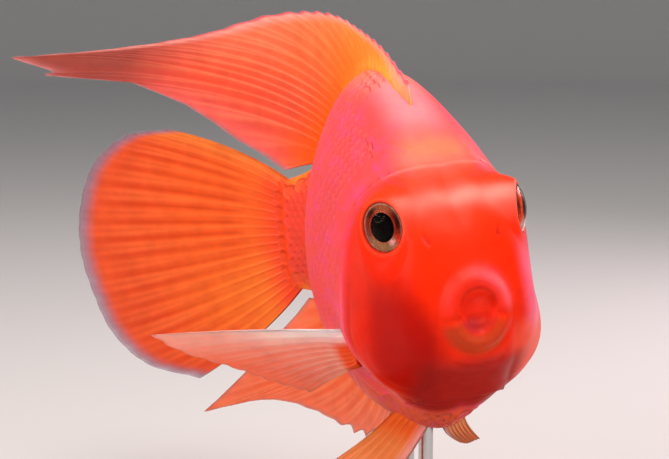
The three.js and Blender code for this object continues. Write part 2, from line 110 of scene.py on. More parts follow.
def painted(base: Array, colour: str, weight: Array) -> Array:
    """Blend a colour over a field of colours.

    Args:
        base: linear colours, one row a point.
        colour: the sRGB hex colour that goes over them.
        weight: how much of it shows at each point, from 0 to 1.

    Returns:
        The blended linear colours.
    """
    return lerp(base, linear(colour), np.clip(weight, 0.0, 1.0)[..., None])


def plain(colour: str, shape: tuple[int, ...]) -> Array:
    """Give a field of one colour, in linear light."""
    return np.broadcast_to(linear(colour), (*shape, 3)).copy()


def layered(base: Array, *coats: tuple[str, Array]) -> Array:
    """Paint coats over a field of colours, the first one first.

    Args:
        base: linear colours, one a point.
        *coats: each coat's sRGB hex colour, and how much of it shows at each point.

    Returns:
        The painted linear colours.
    """
    for colour, weight in coats:
        base = painted(base, colour, weight)
    return base


def elevation_of(angle: Array) -> Array:
    """Give how far an angle round the body lies above the side, from -90 to 90 degrees."""
    return np.degrees(np.arcsin(np.sin(angle)))


def natural_spline(xs: Sequence[float], ys: Sequence[float]) -> Curve:
    """Run a natural cubic spline through points and hold its end values outside them."""
    x, y = np.array(xs, float), np.array(ys, float)
    width, last = np.diff(x), len(x) - 1
    system, right = np.eye(last + 1), np.zeros(last + 1)
    for i in range(1, last):
        system[i, i - 1:i + 2] = width[i - 1], 2 * (width[i - 1] + width[i]), width[i]
        right[i] = 6 * ((y[i + 1] - y[i]) / width[i] - (y[i] - y[i - 1]) / width[i - 1])
    second = np.linalg.solve(system, right)

    def at(value: Array) -> Array:
        """Give the spline's value."""
        value = np.clip(value, x[0], x[-1])
        i = np.clip(np.searchsorted(x, value, side="right") - 1, 0, last - 1)
        a = (x[i + 1] - value) / width[i]
        b = 1 - a
        bulge = (a ** 3 - a) * second[i] + (b ** 3 - b) * second[i + 1]
        return a * y[i] + b * y[i + 1] + bulge * width[i] ** 2 / 6

    return at


def outline(points: Sequence[Sequence[float]]) -> Curve:
    """Run a centripetal Catmull-Rom curve through [s, z] points, for t from 0 to 1."""
    flat = np.array([[s, 0.0, z] for s, z in points])
    ends = np.vstack([2 * flat[0] - flat[1], flat, 2 * flat[-1] - flat[-2]])

    def at(t: Array) -> Array:
        """Give the points at t."""
        place = np.clip(t, 0.0, 1.0) * (len(flat) - 1)
        i = np.minimum(place.astype(int), len(flat) - 2)
        w = (place - i)[..., None]
        p0, p1, p2, p3 = (ends[i + k] for k in range(4))
        d0, d1, d2 = (np.sqrt(np.linalg.norm(b - a, axis=-1, keepdims=True))
                      for a, b in ((p0, p1), (p1, p2), (p2, p3)))
        t1 = ((p1 - p0) / d0 - (p2 - p0) / (d0 + d1) + (p2 - p1) / d1) * d1
        t2 = ((p2 - p1) / d1 - (p3 - p1) / (d1 + d2) + (p3 - p2) / d2) * d1
        cubic = 2 * p1 - 2 * p2 + t1 + t2
        square = -3 * p1 + 3 * p2 - 2 * t1 - t2
        return p1 + w * (t1 + w * (square + w * cubic))

    return at


# Nodes and meshes

def add_node(tree: bpy.types.NodeTree, kind: str, inputs: dict | None = None, **settings) -> bpy.types.Node:
    """Add a node with its settings, and set or link its inputs.

    Args:
        tree: the node tree.
        kind: the node's type name.
        inputs: a value or an output socket for each input, by its name or number.
        **settings: the node's own properties.

    Returns:
        The new node.
    """
    node = tree.nodes.new(kind)
    for name, value in settings.items():
        setattr(node, name, value)
    set_inputs(node, inputs or {})
    return node


def set_inputs(node: bpy.types.Node, values: dict) -> None:
    """Link a node's inputs to sockets or set their values, by name or number."""
    for key, value in values.items():
        if isinstance(value, bpy.types.NodeSocket):
            node.id_data.links.new(value, node.inputs[key])
        else:
            node.inputs[key].default_value = value


def new_material(name: str) -> tuple[bpy.types.Material, bpy.types.NodeTree, bpy.types.Node]:
    """Make a material with an empty Principled shader.

    Args:
        name: the finish's plain name.

    Returns:
        The material, its tree and its shader.
    """
    material = bpy.data.materials.new(name)
    material.use_nodes = True
    tree = material.node_tree
    tree.nodes.clear()
    shader = add_node(tree, "ShaderNodeBsdfPrincipled")
    add_node(tree, "ShaderNodeOutputMaterial", {"Surface": shader.outputs[0]})
    return material, tree, shader


def grid_faces(rows: int, columns: int, closed: bool = True) -> Array:
    """List the quads between the rows of a grid of points.

    Args:
        rows: how many rows of points there are.
        columns: how many points a row has.
        closed: whether each row is a loop.

    Returns:
        Four point numbers a face.
    """
    i, j = np.meshgrid(np.arange(rows - 1), np.arange(columns - (not closed)), indexing="ij")
    after = (j + 1) % columns
    corners = [i * columns + j, i * columns + after, (i + 1) * columns + after, (i + 1) * columns + j]
    return np.stack(corners, -1).reshape(-1, 4)


def grid_normals(points: Array, closed: bool = True) -> Array:
    """Work out the normals of a grid of points.

    Args:
        points: rows by columns by 3.
        closed: whether each row is a loop.

    Returns:
        Unit normals, with the same shape.
    """
    down = np.gradient(points, axis=0)
    if closed:
        along = (np.roll(points, -1, axis=1) - np.roll(points, 1, axis=1)) / 2
    else:
        along = np.gradient(points, axis=1)
    return unit(np.cross(down, along))


def capped_faces(rows: int, columns: int) -> list[list[int]]:
    """List the faces of a grid of closed rows with a pole before the first and after the last.

    Args:
        rows: how many rows of points there are.
        columns: how many points a row has.

    Returns:
        Point numbers: the grid's points first, then the front pole, then the back pole.
    """
    faces = grid_faces(rows, columns).tolist()
    front, back, last = rows * columns, rows * columns + 1, (rows - 1) * columns
    for j in range(columns):
        after = (j + 1) % columns
        faces += [[front, after, j], [back, last + j, last + after]]
    return faces


def volume(points: Array, faces: Iterable[Sequence[int]]) -> float:
    """Give the signed volume inside a closed mesh."""
    triangles = np.array([(f[0], f[i], f[i + 1]) for f in faces for i in range(1, len(f) - 1)])
    a, b, c = (points[triangles[:, k]] for k in range(3))
    return float(np.einsum("ij,ij->i", a, np.cross(b, c)).sum() / 6)


def new_mesh(name: str, points: Array, faces: Sequence[Sequence[int]],
             layers: dict[str, Array]) -> bpy.types.Mesh:
    """Make a smooth mesh with its faces outwards and its layers of values or colours.

    Args:
        name: the mesh's name.
        points: places in metres.
        faces: point numbers.
        layers: an array of numbers, vectors or linear colours for each attribute.

    Returns:
        The mesh.
    """
    faces = [tuple(map(int, face)) for face in faces]
    if faces and volume(points, faces) < 0:
        faces = [face[::-1] for face in faces]
    mesh = bpy.data.meshes.new(name)
    mesh.from_pydata(points.tolist(), [], faces)
    mesh.shade_smooth()
    add_layers(mesh, layers)
    return mesh


def add_layers(mesh: bpy.types.Mesh, layers: dict[str, Array]) -> None:
    """Store arrays on a mesh's points, as numbers, vectors, or colours named tone."""
    for name, values in layers.items():
        if name == "tone":
            values = np.concatenate([values, np.ones((len(values), 1))], axis=1)
            kind, field_name = "FLOAT_COLOR", "color"
        elif values.ndim == 2:
            kind, field_name = "FLOAT_VECTOR", "vector"
        else:
            kind, field_name = "FLOAT", "value"
        layer = mesh.attributes.new(name, kind, "POINT")
        layer.data.foreach_set(field_name, values.astype(np.float32).ravel())


def add_piece(name: str, mesh: bpy.types.Mesh, material: bpy.types.Material,
              replaces: Sequence[str] = ()) -> bpy.types.Object:
    """Put a finished mesh in the scene as a piece of the model.

    Args:
        name: the piece's name.
        mesh: its mesh, in metres in the model's frame.
        material: its finish.
        replaces: the solids that it stands for.

    Returns:
        The piece's object.
    """
    piece = bpy.data.objects.new(name, mesh)
    bpy.context.scene.collection.objects.link(piece)
    mesh.materials.clear()
    mesh.materials.append(material)
    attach(piece, BODY)
    if replaces:
        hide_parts(*replaces)
    triangles = sum(len(face.vertices) - 2 for face in mesh.polygons)
    log.info("%s: %d triangles", name, triangles)
    return piece


def node_group(name: str, sockets: dict[str, str]) -> tuple[bpy.types.NodeTree, bpy.types.Node]:
    """Start a Geometry Nodes tree that takes and gives a geometry.

    Args:
        name: the tree's name.
        sockets: the type of each further input, by its name.

    Returns:
        The tree and its group input node.
    """
    tree = bpy.data.node_groups.new(name, "GeometryNodeTree")
    tree.interface.new_socket("Geometry", in_out="INPUT", socket_type="NodeSocketGeometry")
    for label, kind in sockets.items():
        tree.interface.new_socket(label, in_out="INPUT", socket_type=kind)
    tree.interface.new_socket("Geometry", in_out="OUTPUT", socket_type="NodeSocketGeometry")
    return tree, tree.nodes.new("NodeGroupInput")


def grown_mesh(name: str, mesh: bpy.types.Mesh, tree: bpy.types.NodeTree, values: dict) -> bpy.types.Mesh:
    """Run a Geometry Nodes tree on a mesh and keep only the plain mesh that it makes.

    Args:
        name: the new mesh's name.
        mesh: the points or edges that the tree starts from.
        tree: the tree.
        values: a value for each of the tree's inputs, by its name.

    Returns:
        The mesh.
    """
    maker = bpy.data.objects.new(name + "_maker", mesh)
    bpy.context.scene.collection.objects.link(maker)
    modifier = maker.modifiers.new(tree.name, "NODES")
    modifier.node_group = tree
    for item in tree.interface.items_tree:
        if item.in_out == "INPUT" and item.name in values:
            modifier[item.identifier] = values[item.name]
    depsgraph = bpy.context.evaluated_depsgraph_get()
    made = bpy.data.meshes.new_from_object(
        maker.evaluated_get(depsgraph), preserve_all_data_layers=True, depsgraph=depsgraph)
    made.name = name
    maker.modifiers.clear()
    bpy.data.objects.remove(maker)
    points = np.array([vertex.co for vertex in made.vertices])
    if volume(points, [tuple(face.vertices) for face in made.polygons]) < 0:
        log.info("%s is turned outwards", name)
        made.flip_normals()
    return made


# The body's shape

@dataclass(frozen=True)
class Pose:
    """How the straight fish bends its tail to its right, leans over and stands over the base."""

    bend_start: float = 80.0
    bend_end: float = 172.0
    bend: float = math.radians(66)
    lean: float = math.radians(-6)
    lean_heading: float = math.radians(14)
    snout_y: float = -66.0
    mouth_height: float = 90.0
    step: float = 0.5
    length: float = 240.0

    def bend_angle(self, s: Array) -> Array:
        """Give how far the body has turned at s."""
        return self.bend * smooth((s - self.bend_start) / (self.bend_end - self.bend_start))

    def place(self, points: Array) -> Array:
        """Move points of the straight fish to their places in the model.

        Args:
            points: s, y and z in millimetres in the last axis.

        Returns:
            Places in metres in the model's frame, with the same shape.
        """
        s, y, z = np.moveaxis(points, -1, 0)
        knots = np.arange(0.0, self.length + self.step, self.step)
        turn = self.bend_angle(knots[:-1] + self.step / 2)
        east = np.concatenate([[0.0], np.cumsum(-np.sin(turn)) * self.step])
        north = np.concatenate([[0.0], np.cumsum(np.cos(turn)) * self.step])
        angle = self.bend_angle(s)
        x = np.interp(s, knots, east) + y * np.cos(angle)
        forward = np.interp(s, knots, north) + np.minimum(s, 0.0) + y * np.sin(angle)
        bent = np.stack([x, forward, z], -1)
        axis = np.array([math.sin(self.lean_heading), math.cos(self.lean_heading), 0.0])
        leaned = (bent * math.cos(self.lean) + np.cross(axis, bent) * math.sin(self.lean)
                  + axis * (bent @ axis)[..., None] * (1 - math.cos(self.lean)))
        return (leaned + np.array([0.0, self.snout_y, self.mouth_height])) * MM


POSE = Pose()


@dataclass(frozen=True)
class Fold:
    """A soft ridge across one measure of the body, or a groove where its rise is negative."""

    rise: float
    centre: float
    width: float

    def at(self, measure: Array) -> Array:
        """Give how far the skin stands out, in millimetres."""
        return self.rise * bump(measure, self.centre, self.width)


@dataclass(frozen=True)
class Swelling:
    """A rounded rise of the skin on both sides of the body, held back over its middle."""

    s: float
    z: float
    reach: float
    rise: float
    soften: float = 0.09
    middle: Fold = Fold(rise=0.3, centre=0.0, width=0.25)

    def height(self, s: Array, z: Array, sideways: Array) -> Array:
        """Give how far the skin stands out, in millimetres."""
        distance = np.hypot(s - self.s, z - self.z) / self.reach
        flank = (sideways ** 2 + self.soften ** 2) ** 0.25 - self.middle.at(sideways)
        return self.rise * np.exp(-distance ** 2) * flank


@dataclass(frozen=True)
class Mouth:
    """The pouting lips at the snout and the shallow mouth inside them."""

    half: float = 7.8
    tall: float = 9.2
    rise: float = 1.4
    crest: float = 0.9
    width: float = 0.2
    opening: float = 0.6
    corners: float = 0.05
    depth: float = 2.0
    corner_depth: float = 0.5
    inner_ridge: Fold = Fold(rise=0.25, centre=0.68, width=0.07)
    side_crease: Fold = Fold(rise=-0.3, centre=1.22, width=0.08)
    lower_crease: Fold = Fold(rise=-0.45, centre=1.2, width=0.07)

    def ring(self, y: Array, z: Array) -> Array:
        """Give the distance from the mouth's middle, 1 along the lips' crest."""
        return np.hypot(y / self.half, z / self.tall)

    def edge(self, clock: Array) -> Array:
        """Give the ring on which the rounded, three-cornered opening ends."""
        return self.opening + self.corners * np.cos(3 * clock + 1.5 * math.pi)

    def forward(self, s: Array, y: Array, z: Array) -> Array:
        """Give how far the lips stand forward of the snout, in millimetres."""
        ring, clock = self.ring(y, z), np.arctan2(z, np.abs(y))
        upper = smooth(clock / 0.9 + 0.5)
        lips = self.rise * bump(ring, self.crest, self.width) + self.inner_ridge.at(ring) * upper
        lips += self.side_crease.at(ring) * smooth((1.3 - np.abs(clock - 0.1)) / 0.6)
        lips += self.lower_crease.at(ring) * smooth((-0.5 - clock) / 0.4)
        corner = bump(clock, -0.2, 0.14) * smooth((ring - 0.5) / 0.2) * smooth((1.25 - ring) / 0.3)
        bowl = smooth((self.edge(clock) - ring) / 0.2)
        inside = 0.5 * (1 - ring ** 2) - 0.5 * bump(z, -1.8, 1.1) * smooth((0.5 - ring) / 0.2)
        fade = smooth((NOSE_LENGTH - s) / 1.5)
        return (lips - self.corner_depth * corner - (self.depth - inside) * bowl) * fade


@dataclass(frozen=True)
class EyeSeat:
    """Where an eye sits in the head and how its rim closes round it.

    The near eye, on the right, looks further ahead than the far one, which stands out a little
    more from the cheek.
    """

    s: float = 19.3
    y: float = 15.0
    z: float = 20.9
    facing: tuple[float, float, float] = (-0.57, 0.81, 0.02)
    far_facing: tuple[float, float, float] = (-0.4, 0.915, 0.02)
    far_out: float = 0.9
    opening: float = 6.2
    rim_height: float = 3.0
    rim_roll: float = 0.35
    floor: float = 0.9
    reach: float = 10.0
    lower_reach: float = 4.5
    lower_rise: float = 0.6
    gather: float = 0.8
    lip: float = 0.4
    near_depth: float = 7.0
    elsewhere: float = 99.0

    def centre(self, side: Side) -> Array:
        """Give the eyeball's centre on the straight fish."""
        out = self.far_out if side is Side.LEFT else 0.0
        return np.array([self.s, side.value * (self.y + out), self.z])

    def axis(self, side: Side) -> Array:
        """Give the direction that the eye looks in, on the straight fish."""
        s, y, z = self.facing if side is Side.RIGHT else self.far_facing
        return unit(np.array([s, side.value * y, z]))

    def distances(self, points: Array, side: Side) -> Array:
        """Give how far points near an eye lie from its axis, and a large number elsewhere."""
        offset = points - self.centre(side)
        height = offset @ self.axis(side)
        radial = np.linalg.norm(offset - height[..., None] * self.axis(side), axis=-1)
        return np.where(height > -self.near_depth, radial, self.elsewhere)

    def fitted(self, points: Array, side: Side) -> Array:
        """Draw the skin round the eye in to a rounded rim that hugs the eyeball.

        Args:
            points: the skin's points.
            side: which eye.

        Returns:
            The moved points.
        """
        axis = self.axis(side)
        offset = points - self.centre(side)
        height = offset @ axis
        radial = offset - height[..., None] * axis
        distance = self.distances(points, side)
        away = distance - self.opening
        drawn = np.where(np.abs(away) < self.gather, away * np.abs(away) / self.gather, away)
        radial = radial * ((drawn + self.opening) / distance)[..., None]
        down = np.clip(-radial[..., 2] / np.maximum(np.linalg.norm(radial, axis=-1), 1e-6), 0, 1) ** 2
        roll = self.rim_roll * np.clip(1 - drawn / self.lip, 0, 1) ** 2
        target = np.where(drawn < -0.03, self.floor, self.rim_height + self.lower_rise * down - roll)
        reach = self.reach + self.lower_reach * down
        share = smooth((reach - distance) / (reach - self.opening - 0.5))
        moved = self.centre(side) + radial + axis * lerp(height, target, share)[..., None]
        return np.where((distance < reach)[..., None], moved, points)


@dataclass(frozen=True)
class Livery:
    """The colours of the head and the body, as sRGB hex values, some of them painted light and shade."""

    face: str = "#f82a06"
    forehead: str = "#fb3c18"
    # The lower cheek's deeper red: faintly on both sides as its own colour, strongly on the fish's right side
    # as painted shade.
    cheek_shade: str = "#b40900"
    # Painted highlight: a pale band across the forehead where the head turns up to the light.
    brow_highlight: str = "#ff9c8e"
    # Painted sheen: a pink band along the gill cover's rear edge.
    gill_edge_sheen: str = "#f6506c"
    gill_glint: str = "#ff9cc4"
    # Painted light on the far cheek: a lighter orange-red low down, and a pink painted highlight above it.
    far_cheek_light: str = "#ff6248"
    far_cheek_highlight: str = "#ff7ca0"
    # Painted highlight: a pale line along the head's rear edge over the nape.
    nape_edge_highlight: str = "#ffa49c"
    # The darker red under the chin and throat: partly the throat's own duller red, partly painted shade.
    chin: str = "#9c201c"
    flank: str = "#fa4c4e"
    # Painted sheen: the top of the back paler pink.
    back: str = "#ff8f94"
    fin_foot: str = "#ff7444"
    nape: str = "#ff8a5c"
    rear_flank: str = "#fc4030"
    belly: str = "#fa602c"
    stalk: str = "#ff4630"
    stalk_edge: str = "#ff9430"
    # The upper lip's pink: partly its own colour, partly a painted highlight that is strong on the left side
    # only.
    upper_lip_and_highlight: str = "#fb606c"
    lower_lip: str = "#a84a24"
    mouth: str = "#f62c14"
    mouth_floor: str = "#b8342c"
    tongue: str = "#b4303c"
    # Painted shadow: a dark line under the upper lip's inner edge.
    lip_shadow: str = "#9a1c1c"
    eye_rim: str = "#c22812"
    eye_fold: str = "#ff5a34"
    # Painted shade: the dark inside of each nostril's pit.
    nostril: str = "#b81c0a"


@dataclass(frozen=True)
class BodyPlan:
    """The straight fish's surface, section by section.

    Each row of stations is s, top, bottom, widest level, half width, and how much fuller than
    an ellipse the upper and the lower half are. The head's rear edge is s at each elevation
    round the body, from the throat (-90 degrees) to the nape (90).
    """

    stations: tuple[tuple[float, ...], ...] = (
        (0, 13, -12, -1, 12, 0, 0),
        (9, 21.5, -17.5, -2, 17.2, 0.04, 0.03),
        (17, 30, -23.5, -3, 20, 0.07, 0.02),
        (26, 38, -30, -4, 22.8, 0.05, -0.06),
        (36, 44.8, -35.8, -4, 24.6, 0.02, -0.16),
        (48, 51.4, -39, -2, 25.4, -0.02, -0.11),
        (61, 55.8, -39.2, 1, 25.4, -0.04, -0.02),
        (76, 56.5, -36.4, 4, 24.2, -0.05, -0.02),
        (91, 51.5, -30, 6, 20.8, -0.05, -0.04),
        (104, 42, -22.5, 7, 15, -0.05, -0.05),
        (115, 32.5, -16.5, 7, 9.2, -0.03, -0.03),
        (126, 26, -12.5, 6.5, 5.2, 0, 0),
        (136, 23, -11, 6, 2.6, 0, 0),
    )
    head_edge: tuple[tuple[float, float], ...] = (
        (-90, 26), (-66, 31), (-45, 35), (-26, 37.5), (-6, 39.5), (12, 38.5), (30, 35), (50, 27.5),
        (66, 23.5), (90, 22))
    orbit: Swelling = Swelling(s=19.2, z=21.5, reach=9.2, rise=3.4)
    cheek: Swelling = Swelling(s=24.0, z=-15.0, reach=10.0, rise=3.0)
    cover_rise: float = 0.65
    cover_ramp: float = 7.0
    cover_groove: Fold = Fold(rise=-0.45, centre=0.55, width=0.5)
    cover_fold: Fold = Fold(rise=-0.28, centre=-7.0, width=0.9)
    cheek_fold: Fold = Fold(rise=-0.2, centre=-16.0, width=1.4)
    nape_groove: Fold = Fold(rise=-0.22, centre=0.4, width=0.6)
    jaw_fold: Fold = Fold(rise=-0.4, centre=10.4, width=1.3)
    chin_fold: Fold = Fold(rise=-0.4, centre=1.62, width=0.08)
    lower_chin_fold: Fold = Fold(rise=-0.22, centre=1.95, width=0.07)
    throat_rise: float = 0.55
    throat_groove: Fold = Fold(rise=-0.35, centre=1.1, width=0.9)
    nostril_s: float = 7.6
    nostril_elevation: float = 58.0
    nostril_radius: float = 0.8
    nostril_depth: float = 0.6
    mouth: Mouth = Mouth()
    eye: EyeSeat = EyeSeat()
    hue: Livery = Livery()
    tail_flesh: float = 5.5
    tail_spread: float = 1.6
    nose_rows: int = 76

    def curve(self, column: int) -> Curve:
        """Give one column of the stations as a smooth curve of s."""
        return natural_spline([row[0] for row in self.stations], [row[column] for row in self.stations])

    def edge(self, angle: Array) -> Array:
        """Give s of the head's rear edge at an angle round the body."""
        return natural_spline(*zip(*self.head_edge))(elevation_of(angle))

    def covered(self, s: Array, angle: Array) -> Array:
        """Give the rise of the gill cover, the groove behind its edge and the fold before it."""
        elevation = elevation_of(angle)
        span = smooth((elevation + 80) / 25) * smooth((48 - elevation) / 25)
        behind = s - self.edge(angle)
        cover = self.cover_rise * smooth(1 + behind / self.cover_ramp) * (1 - smooth(behind / 0.35))
        folds = self.cover_fold.at(behind) * smooth((20 - elevation) / 30)
        folds += self.cheek_fold.at(behind + 1.5 * np.sin(angle * 3)) * smooth((5 - elevation) / 25)
        gill_cover = (cover + self.cover_groove.at(behind) + folds) * span
        return gill_cover + self.nape_groove.at(behind) * (1 - span)

    def surface(self, s: Array, angle: Array, with_cover: bool = True) -> Array:
        """Give points on the body's surface.

        Args:
            s: places along the body.
            angle: angles round it, 0 at the left side and a quarter turn at the back.
            with_cover: whether the gill cover and its folds stand on it.

        Returns:
            s, y and z in the last axis.
        """
        s, angle = np.broadcast_arrays(np.asarray(s, float), np.asarray(angle, float))
        nose = np.sqrt(np.clip(1 - (1 - np.clip(s / NOSE_LENGTH, 0, 1)) ** 2, 0, 1))
        top, bottom, level, half, upper, lower = (self.curve(k)(s) for k in range(1, 7))
        above = np.sin(angle) >= 0
        flesh = np.clip((s - STANDARD_LENGTH) / self.tail_flesh, 0, 1)
        half = half * nose * (1 - 0.97 * smooth(flesh))
        spread = self.tail_spread * flesh
        level = level * nose
        height = np.where(above, (top + spread) * nose - level, level - (bottom - spread) * nose)
        full = 1 + np.where(above, upper, lower) * np.sin(2 * angle) ** 2
        y = half * np.cos(angle) * full
        z = level + height * np.sin(angle) * full
        out = unit(np.stack([np.cos(angle) / np.maximum(half, 1), np.sin(angle) / np.maximum(height, 1)], -1))
        rise = self.orbit.height(s, z, out[..., 0]) + self.cheek.height(s, z, out[..., 0])
        if with_cover:
            rise = rise + self.covered(s, angle)
        return np.stack([s, y + out[..., 0] * rise, z + out[..., 1] * rise], -1)

    def creases(self, points: Array) -> Array:
        """Give the depth of the folds of the jaw, chin and throat and of the nostrils.

        Args:
            points: points on the surface.

        Returns:
            How far each stands out of the surface, in millimetres.
        """
        s, y, z = np.moveaxis(points, -1, 0)
        front = smooth((34 - s) / 10)
        jaw = self.jaw_fold.at(np.abs(y) + 0.04 * (z + 8)) * smooth((2 - z) / 6) * smooth((24 - s) / 8)
        ring = self.mouth.ring(y, z)
        chin = self.chin_fold.at(ring) * smooth((-7 - z) / 4) * smooth((8 - np.abs(y)) / 3)
        chin += self.lower_chin_fold.at(ring) * smooth((-9 - z) / 4) * smooth((6 - np.abs(y)) / 3)
        line = 18 + 2 * (y / 9) ** 2 + 25 * smooth((np.abs(y) - 10.5) / 3.5)
        past = s - line
        under = smooth((-12 - z) / 6)
        shelf = self.throat_rise * smooth(1 + past / 7) * (1 - smooth(past / 0.8))
        throat = (shelf + self.throat_groove.at(past)) * under
        pits = np.zeros_like(s)
        for side in Side:
            distance = np.linalg.norm(points - self.nostril(side), axis=-1)
            pits -= self.nostril_depth * smooth((self.nostril_radius - distance) / 0.5)
        return (jaw + chin) * front + throat + pits

    def nostril(self, side: Side) -> Array:
        """Give the middle of a nostril."""
        angle = self.nostril_elevation if side is Side.LEFT else 180 - self.nostril_elevation
        return self.surface(np.array(self.nostril_s), np.array(math.radians(angle)))

    def skin_grid(self, angles: Array) -> tuple[Array, Array]:
        """Give s and the angle of each of the skin's points, in rows from the snout back.

        Args:
            angles: the angles of a row's points.

        Returns:
            Two arrays of rows by columns.
        """
        share = np.linspace(1 / self.nose_rows, 1, self.nose_rows)
        nose = NOSE_LENGTH * (1 - np.sqrt(1 - share ** 2))
        edge = self.edge(angles)
        rows = [np.full_like(edge, s) for s in nose]
        rows += [lerp(NOSE_LENGTH, edge - 0.5, k) for k in np.linspace(0, 1, 65)[1:]]
        rows += [edge + k for k in (-0.25, -0.05, 0.1, 0.25, 0.4, 0.6, 0.9, 1.3, 1.8)]
        rows += [lerp(edge + 1.8, STANDARD_LENGTH, k) for k in np.linspace(0, 1, 92)[1:]]
        rows += [np.full_like(edge, STANDARD_LENGTH + self.tail_flesh * k) for k in np.linspace(0, 1, 9)[1:]]
        s = np.stack(rows)
        return s, np.broadcast_to(angles, s.shape)

    def skin_points(self, s: Array, angle: Array) -> Array:
        """Give the finished skin's points, with lips, folds and the rims of the eyes."""
        points = self.surface(s, angle)
        points += grid_normals(points) * -self.creases(points)[..., None]
        points[..., 0] -= self.mouth.forward(s, points[..., 1], points[..., 2])
        for side in Side:
            points = self.eye.fitted(points, side)
        return points

    def markings(self, points: Array, angle: Array) -> Array:
        """Give the fish's colours, with their painted light and shade, which the skin and the scales share.

        Args:
            points: points on the body.
            angle: their angles round it.

        Returns:
            Linear colours, one a point.
        """
        behind = points[..., 0] - self.edge(angle)
        trunk = smooth((behind + 4.5) / 6)
        tone = self.head_paint(points, elevation_of(angle), behind, 1 - trunk)
        tone = self.trunk_paint(tone, points[..., 0], elevation_of(angle), trunk)
        tone = self.mouth_paint(tone, points)
        for side in Side:
            away = self.eye.distances(points, side)
            pit = np.linalg.norm(points - self.nostril(side), axis=-1)
            # Round each eye a darker rim and a lighter fold; each nostril's pit gets painted shade.
            tone = layered(
                tone,
                (self.hue.eye_rim, 0.8 * smooth((6.4 - away) / 0.2)),
                (self.hue.eye_fold, 0.5 * bump(away, 6.9, 0.4)),
                (self.hue.nostril, 0.8 * smooth((1.1 - pit) / 0.6)))
        return tone

    def head_paint(self, points: Array, elevation: Array, behind: Array, head: Array) -> Array:
        """Colour the face: painted shade on the lower cheek, painted highlights on the forehead, the far
        cheek and the nape's edge, painted sheen and a glint on the gill cover's edge, painted light on the
        far cheek, and the darker chin, partly painted shade.

        Args:
            points: points on the body.
            elevation: how far round the body each lies, in degrees above the side.
            behind: how far each lies behind the head's edge.
            head: how much each belongs to the head, from 0 to 1.

        Returns:
            Linear colours, one a point.
        """
        s, y, z = np.moveaxis(points, -1, 0)
        top = 3 + 13 * smooth((np.abs(y) - 8) / 9)
        # Lower cheek darker: faintly on both sides as its own colour, strongly on the right side as painted
        # shade.
        cheek_shade = smooth((top - z) / 16) * smooth((np.abs(y) - 4.5) / 8) * (0.1 + 0.85 * smooth((-y - 2) / 8))
        # A pale painted highlight across the top of the forehead, strongest on the left side.
        band = bump(s, 13.6, 1.9) * smooth((z - 16) / 6) * (0.5 + 0.5 * smooth((y + 9) / 12))
        rim = smooth((elevation + 70) / 30) * smooth((62 - elevation) / 20)
        # A pink painted sheen along the gill cover's rear edge.
        edge = (0.25 + 0.3 * bump(elevation, 0.0, 26.0)) * bump(behind, -2.2, 2.2)
        # Painted light on the left side of the face: lighter orange-red on the lower cheek and a pink painted
        # highlight above.
        far = smooth((y - 6.5) / 6) * smooth((s - 1) / 5) * rim
        far_cheek_highlight = smooth((y - 11.5) / 5) * smooth((17 - z) / 9) * smooth((z + 10) / 6)
        # Darker under the chin and throat: partly their own duller red, partly painted shade on the
        # underside.
        under = smooth((-9.5 - z) / 6) * smooth((40 - s) / 10) * smooth((17 - np.abs(y)) / 6)
        return layered(
            plain(self.hue.face, s.shape),
            (self.hue.forehead, 0.7 * smooth((z - 14) / 14) * head),
            (self.hue.cheek_shade, cheek_shade * (1 - 0.6 * smooth((s - 17) / 9)) * head),
            (self.hue.brow_highlight, 0.6 * band * head),
            (self.hue.gill_edge_sheen, edge * rim),
            (self.hue.gill_glint, 0.35 * bump(behind, -1.8, 0.8) * bump(elevation, -4.0, 17.0)),
            (self.hue.far_cheek_light, 0.7 * far * smooth((-2 - z) / 5)),
            (self.hue.far_cheek_highlight, 0.6 * far * far_cheek_highlight),
            # A pale painted highlight along the head's rear edge over the nape.
            (self.hue.nape_edge_highlight, 0.7 * bump(behind, -0.6, 0.5) * smooth((elevation - 48) / 16)),
            (self.hue.chin, 0.85 * under))

    def trunk_paint(self, tone: Array, s: Array, elevation: Array, trunk: Array) -> Array:
        """Colour the flank, the back with its pale painted sheen, the belly and the tail stalk over the
        head's paint.

        Args:
            tone: the head's linear colours.
            s: each point's place along the body.
            elevation: how far round the body each lies, in degrees above the side.
            trunk: how much each belongs to the trunk, from 0 to 1.

        Returns:
            Linear colours, one a point.
        """
        stalk_edges = smooth((s - 114) / 18) * smooth((np.abs(elevation) - 40) / 34)
        return layered(
            tone,
            (self.hue.flank, trunk),
            # A pale pink painted sheen along the top of the back.
            (self.hue.back, 0.75 * trunk * smooth((elevation - 66) / 20) * smooth((s - 26) / 14)),
            (self.hue.fin_foot, 0.7 * trunk * smooth((elevation - 60) / 22) * smooth((s - 50) / 14)),
            (self.hue.nape, 0.6 * smooth((elevation - 58) / 20) * bump(s, 26.0, 5.0)),
            (self.hue.rear_flank, 0.7 * trunk * smooth((24 - elevation) / 30) * smooth((s - 62) / 30)),
            (self.hue.belly, 0.85 * trunk * smooth((-30 - elevation) / 28)),
            (self.hue.stalk, smooth((s - 104) / 20)),
            (self.hue.stalk_edge, 0.7 * stalk_edges),
            (CAUDAL_ROOT, smooth((s - 130) / 9)))

    def mouth_paint(self, tone: Array, points: Array) -> Array:
        """Colour the lips and the inside of the mouth, with a painted highlight on the upper lip's far side
        and a painted shadow under the upper lip's inner edge.

        Args:
            tone: the head's and the trunk's linear colours.
            points: points on the body.

        Returns:
            Linear colours, one a point.
        """
        s, y, z = np.moveaxis(points, -1, 0)
        ring, clock, snout = self.mouth.ring(y, z), np.arctan2(z, np.abs(y)), smooth((12 - s) / 4)
